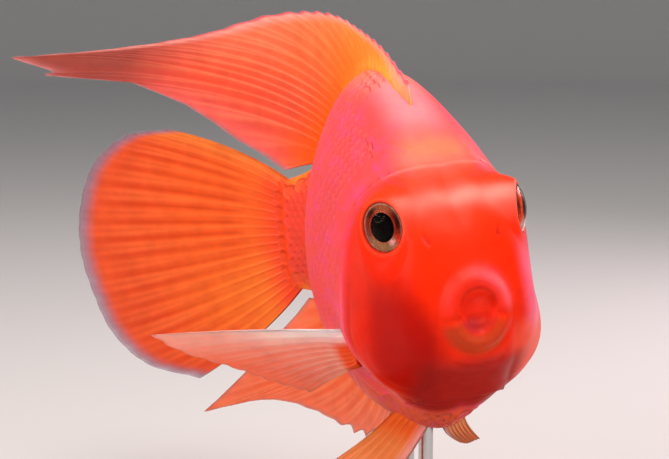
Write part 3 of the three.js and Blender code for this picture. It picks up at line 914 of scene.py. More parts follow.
        # The upper lip's pink arch: its own colour faintly on the right side, with a painted highlight strong
        # on the left.
        arch = bump(ring, 1.0, 0.2) * smooth((clock + 0.2) / 0.5) * (0.15 + 0.85 * smooth((y + 3) / 8))
        lower = smooth((ring - 0.5) / 0.25) * smooth((1.36 - ring) / 0.3) * smooth((-0.12 - clock) / 0.5)
        inside = smooth((0.66 - ring) / 0.12) * snout
        # A painted shadow under the upper lip's inner edge, round the top of the opening.
        lip_shadow_line = bump(ring, 0.64, 0.07) * smooth((clock - 0.2) / 0.5)
        return layered(
            tone,
            (self.hue.upper_lip_and_highlight, 0.75 * arch * snout),
            (self.hue.lower_lip, 0.6 * lower * smooth((9 - y) / 5) * snout),
            (self.hue.mouth, 0.9 * inside * smooth((z + 6) / 3)),
            (self.hue.mouth_floor, 0.5 * inside * smooth((-0.5 - z) / 3)),
            (self.hue.tongue, 0.6 * inside * smooth((-0.8 - z) / 2.4) * smooth((1.5 - y) / 4)),
            (self.hue.lip_shadow, 0.35 * lip_shadow_line * snout))

    def streaks(self, points: Array, angle: Array) -> Array:
        """Give how strongly pink streaks show at each point, from 0 to 1."""
        s = points[..., 0]
        bare = 0.75 * smooth((elevation_of(angle) - 56) / 20)
        return smooth((s - self.edge(angle) + 7) / 7) * smooth((118 - s) / 20) * (1 - bare)


PLAN = BodyPlan()


# Finishes

def noise(tree: bpy.types.NodeTree, place: bpy.types.NodeSocket, scale: float, detail: float = 2.0,
          **more: float) -> bpy.types.NodeSocket:
    """Add a noise.

    Args:
        tree: the material's tree.
        place: where the noise is read.
        scale: how many waves it has in a metre.
        detail: how many finer layers it has.
        more: values of its other inputs.

    Returns:
        Its value.
    """
    values = {"Vector": place, "Scale": scale, "Detail": detail, **more}
    return add_node(tree, "ShaderNodeTexNoise", values).outputs["Fac"]


def ranged(tree: bpy.types.NodeTree, value: bpy.types.NodeSocket, reach: tuple[float, float],
           to: tuple[float, float]) -> bpy.types.NodeSocket:
    """Stretch a value's reach to another one, held at both ends."""
    return add_node(tree, "ShaderNodeMapRange", {
        "Value": value, "From Min": reach[0], "From Max": reach[1],
        "To Min": to[0], "To Max": to[1]}).outputs[0]


def multiplied(tree: bpy.types.NodeTree, colour: bpy.types.NodeSocket,
               by: bpy.types.NodeSocket) -> bpy.types.NodeSocket:
    """Multiply a colour by a value."""
    return add_node(tree, "ShaderNodeVectorMath", {0: colour, 1: by}, operation="MULTIPLY").outputs[0]


def mixed(tree: bpy.types.NodeTree, share: bpy.types.NodeSocket, colour: bpy.types.NodeSocket,
          tint: str) -> bpy.types.NodeSocket:
    """Mix a tint into a colour."""
    values = {"Factor": share, 6: colour, 7: rgba(tint)}
    return add_node(tree, "ShaderNodeMix", values, data_type="RGBA").outputs[2]


def carried(tree: bpy.types.NodeTree, name: str, output: str = "Fac") -> bpy.types.NodeSocket:
    """Read a value that the mesh carries."""
    return add_node(tree, "ShaderNodeAttribute", attribute_name=name).outputs[output]


def raised(tree: bpy.types.NodeTree, height: bpy.types.NodeSocket, strength: float,
           distance_mm: float) -> bpy.types.NodeSocket:
    """Turn a value to fine relief."""
    return add_node(tree, "ShaderNodeBump", {
        "Height": height, "Strength": strength, "Distance": distance_mm * MM}).outputs["Normal"]


@dataclass(frozen=True)
class WetSkin:
    """Living fish skin cast in tinted resin, glossed to look wet.

    The resin lets light in a few millimetres, red deepest, so thin edges glow, and the clear
    gloss over it gives small sharp highlights on a soft sheen.
    """

    name: str
    scaly: bool = False
    mottle_mm: float = 3.5
    pore_mm: float = 0.7
    roughness: float = 0.38
    streak_tint: str = "#f84a86"
    rim_tint: str = "#ff8088"
    sheen_tint: str = "#ff90b8"

    def material(self) -> bpy.types.Material:
        """Build the material."""
        material, tree, shader = new_material(self.name)
        place = add_node(tree, "ShaderNodeTexCoord").outputs["Object"]
        mottle = noise(tree, place, 1000 / self.mottle_mm, 3.0, Roughness=0.55)
        base = multiplied(tree, carried(tree, "tone", "Color"),
                          ranged(tree, mottle, (0.3, 0.7), (0.93, 1.05)))
        lie = add_node(tree, "ShaderNodeMapping", {"Vector": place, "Scale": (1.0, 0.45, 1.3)}).outputs[0]
        band = ranged(tree, noise(tree, lie, 260.0, 4.0, Roughness=0.6), (0.48, 0.72), (0.0, 0.6))
        amount = add_node(tree, "ShaderNodeMath", {0: band, 1: carried(tree, "streak")}, operation="MULTIPLY")
        base = mixed(tree, amount.outputs[0], base, self.streak_tint)
        if self.scaly:
            base = mixed(tree, carried(tree, "scale_rim"), base, self.rim_tint)
        pores = noise(tree, place, 1000 / self.pore_mm)
        set_inputs(shader, {
            "Base Color": base,
            "Roughness": ranged(tree, mottle, (0.0, 1.0), (self.roughness - 0.06, self.roughness + 0.08)),
            "Normal": raised(tree, pores, 0.12, 0.1),
            "Subsurface Weight": 0.25, "Subsurface Radius": (1.0, 0.28, 0.14), "Subsurface Scale": 2.0 * MM,
            "IOR": 1.38, "Specular IOR Level": 0.08, "Coat Weight": 0.06, "Coat Roughness": 0.2,
            "Coat IOR": 1.38, "Sheen Weight": 0.08, "Sheen Roughness": 0.26,
            "Sheen Tint": rgba(self.sheen_tint)})
        return material


@dataclass(frozen=True)
class FinMembrane:
    """Thin tinted resin film over the fin rays, clear and greyish at its free edge."""

    name: str
    roughness: float = 0.36

    def material(self) -> bpy.types.Material:
        """Build the material."""
        material, tree, shader = new_material(self.name)
        place = add_node(tree, "ShaderNodeTexCoord").outputs["Object"]
        shade = ranged(tree, noise(tree, place, 180.0, 3.0), (0.3, 0.7), (0.9, 1.08))
        set_inputs(shader, {
            "Base Color": multiplied(tree, carried(tree, "tone", "Color"), shade),
            "Alpha": carried(tree, "veil"),
            "Normal": raised(tree, noise(tree, place, 1400.0), 0.15, 0.08),
            "Roughness": self.roughness, "Subsurface Weight": 0.6, "Subsurface Radius": (1.0, 0.35, 0.18),
            "Subsurface Scale": 2.5 * MM, "IOR": 1.38, "Specular IOR Level": 0.2, "Coat Weight": 0.08,
            "Coat Roughness": 0.25})
        return material


@dataclass(frozen=True)
class WetEye:
    """The painted eyeball: finely flecked and matt, as the clear dome over it has the gloss."""

    name: str = "painted_glass_eye"

    def material(self) -> bpy.types.Material:
        """Build the material."""
        material, tree, shader = new_material(self.name)
        place = add_node(tree, "ShaderNodeTexCoord").outputs["Object"]
        shade = ranged(tree, noise(tree, place, 1500.0, 3.0), (0.3, 0.7), (0.6, 1.3))
        set_inputs(shader, {
            "Base Color": multiplied(tree, carried(tree, "tone", "Color"), shade),
            "Roughness": 0.4, "Specular IOR Level": 0.03})
        return material


@dataclass(frozen=True)
class ClearDome:
    """Clear cast resin, polished: a thin dome that only shows by its highlights."""

    name: str = "clear_resin_cornea"
    film_mm: float = 2.0

    def material(self) -> bpy.types.Material:
        """Build the material."""
        material, tree, shader = new_material(self.name)
        place = add_node(tree, "ShaderNodeTexCoord").outputs["Object"]
        film = noise(tree, place, 1000 / self.film_mm)
        set_inputs(shader, {
            "Roughness": ranged(tree, film, (0.0, 1.0), (0.0, 0.05)),
            "Base Color": rgba("#fff6f0"), "IOR": 1.08, "Transmission Weight": 1.0})
        return material


@dataclass(frozen=True)
class StainedBeech:
    """Turned beech under dark stain and satin varnish: long fine grain with short pores."""

    name: str = "stained_beech"
    grain_mm: float = 1.6

    def material(self) -> bpy.types.Material:
        """Build the material."""
        material, tree, shader = new_material(self.name)
        place = add_node(tree, "ShaderNodeTexCoord").outputs["Object"]
        lie = add_node(tree, "ShaderNodeMapping", {"Vector": place, "Scale": (1.0, 0.08, 0.6)}).outputs[0]
        rings = noise(tree, lie, 1000 / (self.grain_mm * 6), 4.0, Distortion=0.4)
        pores = noise(tree, lie, 1000 / self.grain_mm)
        ramp = add_node(tree, "ShaderNodeValToRGB", {"Fac": rings})
        for stop, position, colour in zip(ramp.color_ramp.elements, (0.32, 0.68), ("#2c1a10", "#5b3a24")):
            stop.position, stop.color = position, rgba(colour)
        dark = ranged(tree, pores, (0.35, 0.55), (0.65, 1.0))
        set_inputs(shader, {
            "Base Color": multiplied(tree, ramp.outputs[0], dark), "Normal": raised(tree, pores, 0.2, 0.1),
            "Roughness": 0.42, "Coat Weight": 0.3, "Coat Roughness": 0.25})
        return material


@dataclass(frozen=True)
class BrushedSteel:
    """Stainless steel rod, brushed along its length: bright, with fine vertical scratches."""

    name: str = "brushed_stainless_steel"
    scratch_mm: float = 0.3

    def material(self) -> bpy.types.Material:
        """Build the material."""
        material, tree, shader = new_material(self.name)
        place = add_node(tree, "ShaderNodeTexCoord").outputs["Object"]
        lie = add_node(tree, "ShaderNodeMapping", {"Vector": place, "Scale": (1.0, 1.0, 0.04)}).outputs[0]
        scratch = noise(tree, lie, 1000 / self.scratch_mm, 3.0)
        set_inputs(shader, {
            "Roughness": ranged(tree, scratch, (0.0, 1.0), (0.2, 0.42)),
            "Normal": raised(tree, scratch, 0.15, 0.02), "Base Color": rgba("#c4c6c8"), "Metallic": 1.0})
        return material


@dataclass(frozen=True)
class MattPaper:
    """Studio background paper: matt, even and pale."""

    name: str
    colour: str

    def material(self) -> bpy.types.Material:
        """Build the material."""
        material, _, shader = new_material(self.name)
        set_inputs(shader, {"Base Color": rgba(self.colour), "Roughness": 0.9})
        return material


# The pieces

@dataclass(frozen=True)
class Skin:
    """One unbroken skin over the head, the trunk and the tail stalk."""

    plan: BodyPlan = PLAN
    around: int = 320
    eye_angles: tuple[float, float] = (38.0, 142.0)
    crowding: float = 1.2

    def build(self) -> bpy.types.Object:
        """Make the skin, with its points crowded where the eyes are.

        Returns:
            The piece.
        """
        even = np.radians(np.linspace(-90, 270, 3601))
        crowd = 1 + self.crowding * sum(bump(even, math.radians(a), 0.3) for a in self.eye_angles)
        walked = np.concatenate([[0.0], np.cumsum((crowd[1:] + crowd[:-1]) / 2)])
        angles = np.interp(np.linspace(0, walked[-1], self.around, endpoint=False), walked, even)
        s, angle = self.plan.skin_grid(angles)
        grid = self.plan.skin_points(s, angle)
        ends = np.stack([grid[0].mean(axis=0), grid[-1].mean(axis=0)])
        points = np.concatenate([grid.reshape(-1, 3), ends])
        turns = np.concatenate([angle.ravel(), [0.0, 0.0]])
        layers = {"tone": self.plan.markings(points, turns), "streak": self.plan.streaks(points, turns)}
        mesh = new_mesh("skin", POSE.place(points), capped_faces(len(s), self.around), layers)
        return add_piece("skin", mesh, WetSkin("wet_fish_skin").material(),
                         ("head", "trunk", "tail_stalk"))


@dataclass(frozen=True)
class ScaleCoat:
    """Thin round-edged scales in rows along the flank, each lying back over the next.

    A cichlid this size has about 30 scales from the gill cover to the tail, so a scale shows
    about 3.6 mm of its length, and its rows are 2.3 mm apart.
    """

    side: Side
    plan: BodyPlan = PLAN
    pitch: float = 3.6
    row_gap: float = 2.3
    width: float = 5.0
    length: float = 6.0
    thickness: float = 0.06
    proud: float = 0.08
    sunk: float = 0.1
    start: float = 20.0
    end: float = 138.5
    step: float = 0.5
    most_rows: int = 40
    border: float = 0.8
    seed: int = 5

    def courses(self) -> Array:
        """Lay the scales out in rows, each second row half a scale further back.

        Returns:
            The s and the angle of each place, one a row.
        """
        s = np.arange(self.start, self.end + self.step, self.step)
        level_angles = np.linspace(-90, 90, 361)
        angle = np.radians(level_angles)
        if self.side is Side.RIGHT:
            angle = math.pi - angle
        grid = self.plan.surface(s[:, None], np.broadcast_to(angle, (len(s), len(angle))))
        steps = np.linalg.norm(np.diff(grid, axis=1), axis=-1)
        height = np.concatenate([np.zeros((len(s), 1)), np.cumsum(steps, axis=1)], axis=1)
        middle = np.argmin(np.abs(level_angles))
        height -= height[:, middle:middle + 1]
        found = []
        for row in range(-self.most_rows, self.most_rows + 1):
            level = row * self.row_gap
            for place in np.arange(self.start + (row % 2) * self.pitch / 2, self.end, self.pitch):
                column = height[int((place - self.start) / self.step)]
                if column[0] + self.border < level < column[-1] - self.border:
                    found.append((place, float(np.interp(level, column, angle))))
        return np.array(found)

    def roots(self) -> dict[str, Array]:
        """Work out where each scale grows: not on the head, the nape or the tail stalk's edges.

        Returns:
            For each scale its s, its angle, its size and how deep it lies in the skin.
        """
        places = self.courses()
        behind = places[:, 0] - self.plan.edge(places[:, 1])
        elevation = elevation_of(places[:, 1])
        nape = smooth((elevation - 52) / 30) * smooth((58 - places[:, 0]) / 16)
        size = 0.86 + 0.14 * smooth(behind / 14) * smooth((132 - places[:, 0]) / 24) * (1 - 0.5 * nape)
        depth = 0.24 * smooth(nape / 0.45) + 0.15 * smooth((elevation - 15) / 20) * smooth((8 - behind) / 7)
        ridge = (places[:, 0] > 108) & (np.abs(elevation) > 58)
        keep = (behind > -2.5) & (nape < 0.5) & ~ridge
        return {"s": places[keep, 0], "angle": places[keep, 1], "size": size[keep], "depth": depth[keep]}

    def shape(self) -> bpy.types.Mesh:
        """Make one scale, its root at the origin, lying along +Y with its back at +Z.

        Returns:
            The mesh, in millimetres.
        """
        stops = np.array([0.0, 0.4, 0.66, 0.86, 0.975])
        across, along = 4, len(stops) - 1
        u, v = np.meshgrid(np.linspace(-1, 1, across + 1), stops)
        half = self.width / 2 * np.sqrt(np.clip(1 - (np.maximum(v - 0.5, 0) / 0.5) ** 2, 0, 1))
        x = u * half * (0.8 + 0.2 * smooth(v * 2))
        y = self.length * (v - 0.03 * v * u ** 2)
        crown = 0.12 * (1 - u ** 2) - 0.07
        z = -self.sunk + (self.proud + self.sunk) * v ** 1.3 + crown * smooth(v * 1.6)
        upper = np.stack([x, y, z], -1).reshape(-1, 3)
        lower = upper - [0.0, 0.0, self.thickness + 0.1]
        count = len(upper)
        faces = grid_faces(along + 1, across + 1, closed=False).tolist()
        loop = list(range(across + 1)) + [(i + 1) * (across + 1) - 1 for i in range(1, along + 1)]
        loop += list(range(count - 2, count - across - 2, -1))
        loop += [i * (across + 1) for i in range(along - 1, 0, -1)]
        faces = [face[::-1] for face in faces] if self.upside(upper, faces) else faces
        rim = {a: count + k for k, a in enumerate(loop)}
        for a, b in zip(loop, loop[1:] + loop[:1]):
            faces.append([a, b, rim[b], rim[a]])
        faces.append([rim[a] for a in loop])
        points = np.concatenate([upper, lower[loop]])
        local = np.stack([u.ravel() / 2, v.ravel() - 0.5, 0 * u.ravel()], -1)
        local = np.concatenate([local, local[loop]])
        edge = smooth((local[:, 1] - 0.1) / 0.38)
        mesh = new_mesh("scale_shape", points, faces, {"local": local, "scale_rim": edge * 0.16})
        for face in mesh.polygons[along * across:]:
            face.use_smooth = False
        return mesh

    @staticmethod
    def upside(points: Array, faces: Sequence[Sequence[int]]) -> bool:
        """Say whether a sheet's faces point down."""
        a, b, c = (points[faces[0][k]] for k in range(3))
        return bool(np.cross(b - a, c - a)[2] < 0)

    def tree(self) -> bpy.types.NodeTree:
        """Build the tree that sets a scale on each root, turned to its lie.

        Returns:
            The tree.
        """
        tree, start = node_group("scale_coat", {
            "Scale shape": "NodeSocketObject", "Scale size": "NodeSocketFloat",
            "Size spread": "NodeSocketFloat", "Patch size": "NodeSocketFloat",
            "Seed": "NodeSocketInt", "Finish": "NodeSocketMaterial"})
        read = {name: add_node(tree, "GeometryNodeInputNamedAttribute", {"Name": name}, data_type=kind)
                for name, kind in (("outward", "FLOAT_VECTOR"), ("lie", "FLOAT_VECTOR"), ("size", "FLOAT"),
                                   ("root_uv", "FLOAT_VECTOR"), ("local", "FLOAT_VECTOR"))}
        turn = add_node(tree, "FunctionNodeAxesToRotation", {
            "Primary Axis": read["outward"].outputs[0], "Secondary Axis": read["lie"].outputs[0]},
            primary_axis="Z", secondary_axis="Y")
        vary = add_node(tree, "FunctionNodeRandomValue", {"Seed": start.outputs["Seed"]}, data_type="FLOAT")
        spread = add_node(tree, "ShaderNodeMath", {
            0: vary.outputs[1], 1: start.outputs["Size spread"], 2: 1.0}, operation="MULTIPLY_ADD")
        sized = add_node(tree, "ShaderNodeMath", {0: read["size"].outputs[0], 1: spread.outputs[0]},
                         operation="MULTIPLY")
        scaled = add_node(tree, "ShaderNodeMath", {0: sized.outputs[0], 1: start.outputs["Scale size"]},
                          operation="MULTIPLY")
        shape = add_node(tree, "GeometryNodeObjectInfo", {"Object": start.outputs["Scale shape"]})
        laid = add_node(tree, "GeometryNodeInstanceOnPoints", {
            "Points": start.outputs["Geometry"], "Instance": shape.outputs["Geometry"],
            "Rotation": turn.outputs[0], "Scale": scaled.outputs[0]})
        real = add_node(tree, "GeometryNodeRealizeInstances", {"Geometry": laid.outputs[0]})
        patch = add_node(tree, "ShaderNodeVectorMath", {
            0: read["local"].outputs[0], "Scale": start.outputs["Patch size"]}, operation="SCALE")
        place = add_node(tree, "ShaderNodeVectorMath", {0: read["root_uv"].outputs[0], 1: patch.outputs[0]},
                         operation="ADD")
        stored = add_node(tree, "GeometryNodeStoreNamedAttribute", {
            "Geometry": real.outputs[0], "Name": "OFBake", "Value": place.outputs[0]},
            data_type="FLOAT2", domain="CORNER")
        finish = add_node(tree, "GeometryNodeSetMaterial", {
            "Geometry": stored.outputs[0], "Material": start.outputs["Finish"]})
        add_node(tree, "NodeGroupOutput", {"Geometry": finish.outputs[0]})
        return tree

    def build(self, finish: bpy.types.Material) -> bpy.types.Object:
        """Make one side's scales.

        Args:
            finish: the scales' material.

        Returns:
            The piece.
        """
        roots = self.roots()
        s, angle = roots["s"], roots["angle"]
        span = self.length * roots["size"]
        here = self.plan.surface(s, angle, with_cover=False)
        middle, ahead, beside = (
            POSE.place(self.plan.surface(s + span * share, angle + turn, with_cover=False))
            for share, turn in ((0.5, 0.0), (1.0, 0.0), (0.5, 0.01)))
        lie = unit(ahead - POSE.place(here))
        outward = unit(np.cross(lie, beside - middle))
        place = POSE.place(here) - outward * roots["depth"][:, None] * MM
        layers = {
            "outward": outward, "lie": lie, "size": roots["size"],
            "root_uv": np.stack([s / 150, 0.02 + 0.96 * (angle / (2 * math.pi) + 0.25), 0 * s], -1),
            "tone": self.plan.markings(here, angle), "streak": self.plan.streaks(here, angle)}
        points = new_mesh("scale_roots", place, [], layers)
        shape = bpy.data.objects.new("scale_shape", self.shape())
        bpy.context.scene.collection.objects.link(shape)
        name = f"scales_{self.side.name.lower()}"
        mesh = grown_mesh(name, points, self.tree(), {
            "Scale shape": shape, "Scale size": MM, "Size spread": 0.06, "Patch size": 0.003,
            "Seed": self.seed, "Finish": finish})
        bpy.data.objects.remove(shape)
        for layer in ("outward", "lie", "size", "root_uv", "local"):
            if layer in mesh.attributes:
                mesh.attributes.remove(mesh.attributes[layer])
        return add_piece(name, mesh, finish)


@dataclass(frozen=True)
class FinPalette:
    """A fin's colours, from its root to its free edge."""

    root: str
    middle: str
    outer: str
    web: str
    ray: str
    margin: str
    leading: str
    tip: str = "#ffc0c4"
    root_reach: float = 12.0
    web_strength: float = 0.5
    ray_strength: float = 0.4
    margin_width: float = 4.0
    margin_clear: float = 0.5
    leading_rays: float = 1.0
    leading_strength: float = 0.0
    leading_fade: float = 0.0
    tip_rays: tuple[float, float] = (0.0, 0.0)
    tip_width: float = 8.0
    tip_edge: str = "#f6506e"
    stripes_from: float = 0.0
    rear: str = "#ff7a30"
    rear_from: float = 99.0
    trail: str = "#b8605c"
    trail_from: float = 999.0

    def tone(self, ray: Array, relief: Array, out: Array, length: Array) -> tuple[Array, Array]:
        """Work out a fin's colour and how solid it looks.

        Args:
            ray: each point's place counted in rays.
            relief: how near it is to the middle of a ray, from 0 to 1.
            out: how far it is outside the body along its ray, in millimetres.
            length: how long its ray is outside the body.

        Returns:
            Linear colours, and the film's opacity from 0 to 1.
        """
        share = np.clip(out / np.maximum(length, 1.0), 0, 1)
        left = length - out
        fan = smooth((out - self.stripes_from) / 9) * smooth((1.05 - share) / 0.3)
        fan = fan * (0.78 + 0.22 * np.sin(2.3 * np.round(ray) + 1.0))
        lead = smooth(1 - ray / self.leading_rays) * (1 - self.leading_fade * smooth((share - 0.15) / 0.6))
        start, end = self.tip_rays
        tips = smooth((ray - start) / 3) * smooth((end - ray) / 6)
        free = smooth(1 - left / self.margin_width) * (1 - tips)
        colour = layered(
            plain(self.middle, ray.shape),
            (self.outer, smooth((share - 0.35) / 0.6)),
            (self.web, self.web_strength * fan * np.abs(np.sin(math.pi * ray)) ** 4),
            (self.ray, self.ray_strength * fan * relief),
            (self.rear, smooth((ray - self.rear_from) / 5) * smooth(1.2 - share * 1.5)),
            (self.root, smooth(1.35 - out / self.root_reach)),
            (self.leading, lead * self.leading_strength),
            (self.trail, 0.9 * smooth((out - self.trail_from) / 34)),
            (self.tip, tips * (0.7 + 0.3 * relief) * smooth(1 - left / self.tip_width)),
            (self.tip_edge, 0.85 * tips * smooth(1.5 - left / 1.3)),
            (self.margin, 0.9 * free))
        return colour, 1 - self.margin_clear * free ** 1.5


@dataclass(frozen=True)
class Fin:
    """What every fin has: a sheet with rays in it, from inside the body out to its edge."""

    name: str
    slot: str
    replaces: tuple[str, ...]
    palette: FinPalette
    root: float
    last_ray: int
    spines: int = 0
    cells: int = 12
    rows: int = 52
    film: tuple[float, float] = (0.5, 0.26)
    fillet: tuple[float, float] = (1.6, 2.4)
    ridge: float = 0.22
    ray_radius: tuple[float, float] = (0.46, 0.15)
    branch: float = 0.2

    def sheet(self, ray: Array, row: Array) -> Array:
        """Give points of the fin's middle surface on the straight fish.

        Args:
            ray: places counted in rays.
            row: places along a ray, from 0 inside the body to 1 at the edge.

        Returns:
            s, y and z in the last axis.
        """
        raise NotImplementedError

    def outside(self, points: Array) -> tuple[Array, Array]:
        """Give each point's distance outside the body along its ray, and the ray's length there."""
        steps = np.linalg.norm(np.diff(points, axis=1), axis=-1)
        along = np.concatenate([np.zeros((len(points), 1)), np.cumsum(steps, axis=1)], axis=1)
        return along - self.root, np.broadcast_to(along[:, -1:] - self.root, along.shape)

    def relief(self, ray: Array, row: Array) -> Array:
        """Give how near points lie to a ray or to the branches of a soft ray, from 0 to 1."""
        part = np.abs(ray - np.round(ray))
        apart = np.where(np.round(ray) < self.spines, 0.0, self.branch * smooth((row - 0.35) / 0.5))
        return bump(part - apart, 0.0, 0.13)

    def membrane(self) -> bpy.types.Mesh:
        """Make the film as a thin closed sheet, thicker at its root."""
        rays = np.linspace(0, self.last_ray, self.last_ray * self.cells + 1)
        rows = np.linspace(0, 1, self.rows)
        ray, row = np.meshgrid(rays, rows, indexing="ij")
        middle = self.sheet(ray, row)
        out, length = self.outside(middle)
        placed = POSE.place(middle)
        normal = grid_normals(placed, closed=False)
        ends = smooth((ray + 0.3) / 2.5) * smooth((self.last_ray + 0.3 - ray) / 1.5)
        flare = self.fillet[0] * np.exp(-(np.maximum(out, 0) / self.fillet[1]) ** 2) * ends
        relief = self.relief(ray, row)
        half = (lerp(*self.film, row) / 2 + flare / 2 + self.ridge * relief * (1 - 0.6 * row)) * MM
        tone, veil = self.palette.tone(ray, relief, out, length)
        points = np.concatenate([(placed + normal * half[..., None]).reshape(-1, 3),
                                 (placed - normal * half[..., None]).reshape(-1, 3)])
        width, height = ray.shape
        offset = width * height
        top = grid_faces(width, height, closed=False)
        faces = top.tolist() + (top[:, ::-1] + offset).tolist()
        number = np.arange(offset).reshape(width, height)
        rim = [*number[:, 0], *number[-1, 1:], *number[-2::-1, -1], *number[0, -2:0:-1]]
        for a, b in zip(rim, rim[1:] + rim[:1]):
            faces.append([b, a, a + offset, b + offset])
        layers = {"tone": np.tile(tone.reshape(-1, 3), (2, 1)), "veil": np.tile(veil.ravel(), 2)}
        return new_mesh(f"{self.name}_membrane", points, faces, layers)

    def ray_lines(self) -> list[Array]:
        """List each ray's course as places in rays and rows: soft rays branch on their way out."""
        row = np.linspace(0, 1, 34)
        lines = []
        for number in range(self.last_ray + 1):
            if number < self.spines:
                lines.append(np.stack([np.full_like(row, number), row], -1))
                continue
            for sign in (-1, 1):
                for twig in (-1, 1):
                    apart = sign * self.branch * smooth((row - 0.35) / 0.5)
                    apart = apart + twig * self.branch * 0.5 * smooth((row - 0.68) / 0.32)
                    place = np.clip(number + apart, 0, self.last_ray)
                    lines.append(np.stack([place, row], -1))
        return lines

    def rays(self, finish: bpy.types.Material) -> bpy.types.Mesh:
        """Make the rays as tapered rods along their courses.

        Args:
            finish: the rays' material.

        Returns:
            The mesh.
        """
        points, radii, tones, veils, edges = [], [], [], [], []
        for line in self.ray_lines():
            course = self.sheet(line[:, :1], line[:, 1:])
            out, length = self.outside(course.reshape(1, -1, 3))
            tone, veil = self.palette.tone(np.round(line[None, :, 0]), np.ones_like(out), out, length)
            first = sum(len(part) for part in points)
            edges += [(first + i, first + i + 1) for i in range(len(line) - 1)]
            points.append(POSE.place(course.reshape(-1, 3)))
            radii.append(lerp(*self.ray_radius, line[:, 1] ** 0.8))
            tones.append(tone[0])
            veils.append(veil[0])
        mesh = bpy.data.meshes.new("ray_courses")
        mesh.from_pydata(np.concatenate(points).tolist(), edges, [])
        add_layers(mesh, {"thick": np.concatenate(radii) * MM, "tone": np.concatenate(tones),
                          "veil": np.concatenate(veils)})
        made = grown_mesh(f"{self.name}_rays", mesh, ray_tree(), {"Sides": 6, "Finish": finish})
        made.attributes.remove(made.attributes["thick"])
        made.shade_smooth()
        return made

    def build(self, finish: bpy.types.Material) -> None:
        """Make the fin's film and its rays.

        Args:
            finish: the material of both.
        """
        add_piece(f"{self.name}_membrane", self.membrane(), finish, self.replaces)
        add_piece(f"{self.name}_rays", self.rays(finish), finish)


def ray_tree() -> bpy.types.NodeTree:
    """Build the tree that turns lines to rods, each point with its own thickness.

    Returns:
        The tree.
    """
    tree, start = node_group("fin_rays", {"Sides": "NodeSocketInt", "Finish": "NodeSocketMaterial"})
    thick = add_node(tree, "GeometryNodeInputNamedAttribute", {"Name": "thick"}, data_type="FLOAT")
    lines = add_node(tree, "GeometryNodeMeshToCurve", {0: start.outputs["Geometry"]})
    circle = add_node(tree, "GeometryNodeCurvePrimitiveCircle", {
        "Resolution": start.outputs["Sides"], "Radius": 1.0})
    rods = add_node(tree, "GeometryNodeCurveToMesh", {
        "Curve": lines.outputs[0], "Profile Curve": circle.outputs[0], "Scale": thick.outputs[0],
        "Fill Caps": True})
    real = add_node(tree, "GeometryNodeRealizeInstances", {"Geometry": rods.outputs[0]})
    finish = add_node(tree, "GeometryNodeSetMaterial", {
        "Geometry": real.outputs[0], "Material": start.outputs["Finish"]})
    add_node(tree, "NodeGroupOutput", {"Geometry": finish.outputs[0]})
    return tree


@dataclass(frozen=True)
class KeelFin(Fin):
    """A fin in the fish's middle plane: spines in front, then soft rays up to the longest."""

    base: tuple[float, float] = (0.0, 0.0)
    spine_base: float = 0.5
    soft_front: int = 0
    soft_rear: int = 0
    spine_reach: float = 0.5
    bow: float = 0.0
    jag: float = 2.0
    notch: float = 0.7
    fork: float = 0.0
    front: tuple[tuple[float, float], ...] = ()
    rear: tuple[tuple[float, float], ...] = ()
    on_back: bool = True

    def tip(self, number: Array) -> Array:
        """Give the tip of each whole ray."""
        longest = self.spines + self.soft_front
        spiny = self.spine_reach * number / self.spines
        soft = lerp(self.spine_reach, 1.0, (number - self.spines) / self.soft_front)
        leading = outline(self.front)(np.where(number <= self.spines, spiny, soft))
        trailing = outline(self.rear)((number - longest - 1) / (self.soft_rear - 1))
        return np.where((number > longest)[..., None], trailing, leading)

    def sheet(self, ray: Array, row: Array) -> Array:
        """Give points of the fin's middle surface on the straight fish."""
        ray, row = np.broadcast_arrays(ray, row)
        share = np.where(ray <= self.spines, self.spine_base * ray / self.spines,
                         lerp(self.spine_base, 1.0, (ray - self.spines) / (self.last_ray - self.spines)))
        s = lerp(*self.base, share)
        edge = PLAN.curve(1 if self.on_back else 2)(s)
        start = np.stack([s, 0 * s, edge - self.root if self.on_back else edge + self.root], -1)
        low = np.floor(ray)
        part = ray - low
        tip = lerp(self.tip(low), self.tip(np.ceil(ray)), part[..., None])
        dip = np.where(ray < self.spines, self.jag, self.notch)
        dip = dip + np.where(low == self.spines + self.soft_front, self.fork, 0.0)
        dip = dip * np.sin(math.pi * part) ** np.where(ray < self.spines, 1.4, 2.0)
        tip = tip - unit(tip - start) * dip[..., None]
        behind = smooth((ray - self.spines - self.soft_front - 1) / 1.5)
        return bowed(start, tip, self.bow * (1 - 0.55 * behind), row)


def bowed(start: Array, tip: Array, bow: Array, row: Array) -> Array:
    """Give points along rays that bow sideways by a share of their length."""
    along = tip - start
    side = np.stack([-along[..., 2], 0 * along[..., 0], along[..., 0]], -1) * (np.asarray(bow) * 2)[..., None]
    middle = (start + tip) / 2 + side
    t = row[..., None]
    return start * (1 - t) ** 2 + middle * 2 * t * (1 - t) + tip * t ** 2


@dataclass(frozen=True)
class TailFin(Fin):
    """The tail fin, a rounded fan from the end of the tail stalk."""

    base_top: float = 21.5
    base_bottom: float = -9.5
    notch: float = 0.9
    bow: float = 0.04
    margin: tuple[tuple[float, float], ...] = (
        (174, 41.5), (188, 40.5), (199, 33), (205.5, 19), (207, 5), (204.5, -9), (200, -21.5),
        (190, -32.5), (173, -38.5))

    def sheet(self, ray: Array, row: Array) -> Array:
        """Give points of the fin's middle surface on the straight fish."""
        ray, row = np.broadcast_arrays(ray, row)
        down = ray / self.last_ray
        start = np.stack([np.full_like(down, STANDARD_LENGTH - self.root), 0 * down,
                          lerp(self.base_top, self.base_bottom, down)], -1)
        tip = outline(self.margin)(down)
        tip = tip - unit(tip - start) * (self.notch * np.sin(math.pi * ray) ** 2)[..., None]
        return bowed(start, tip, self.bow * (1 - 2 * down), row)


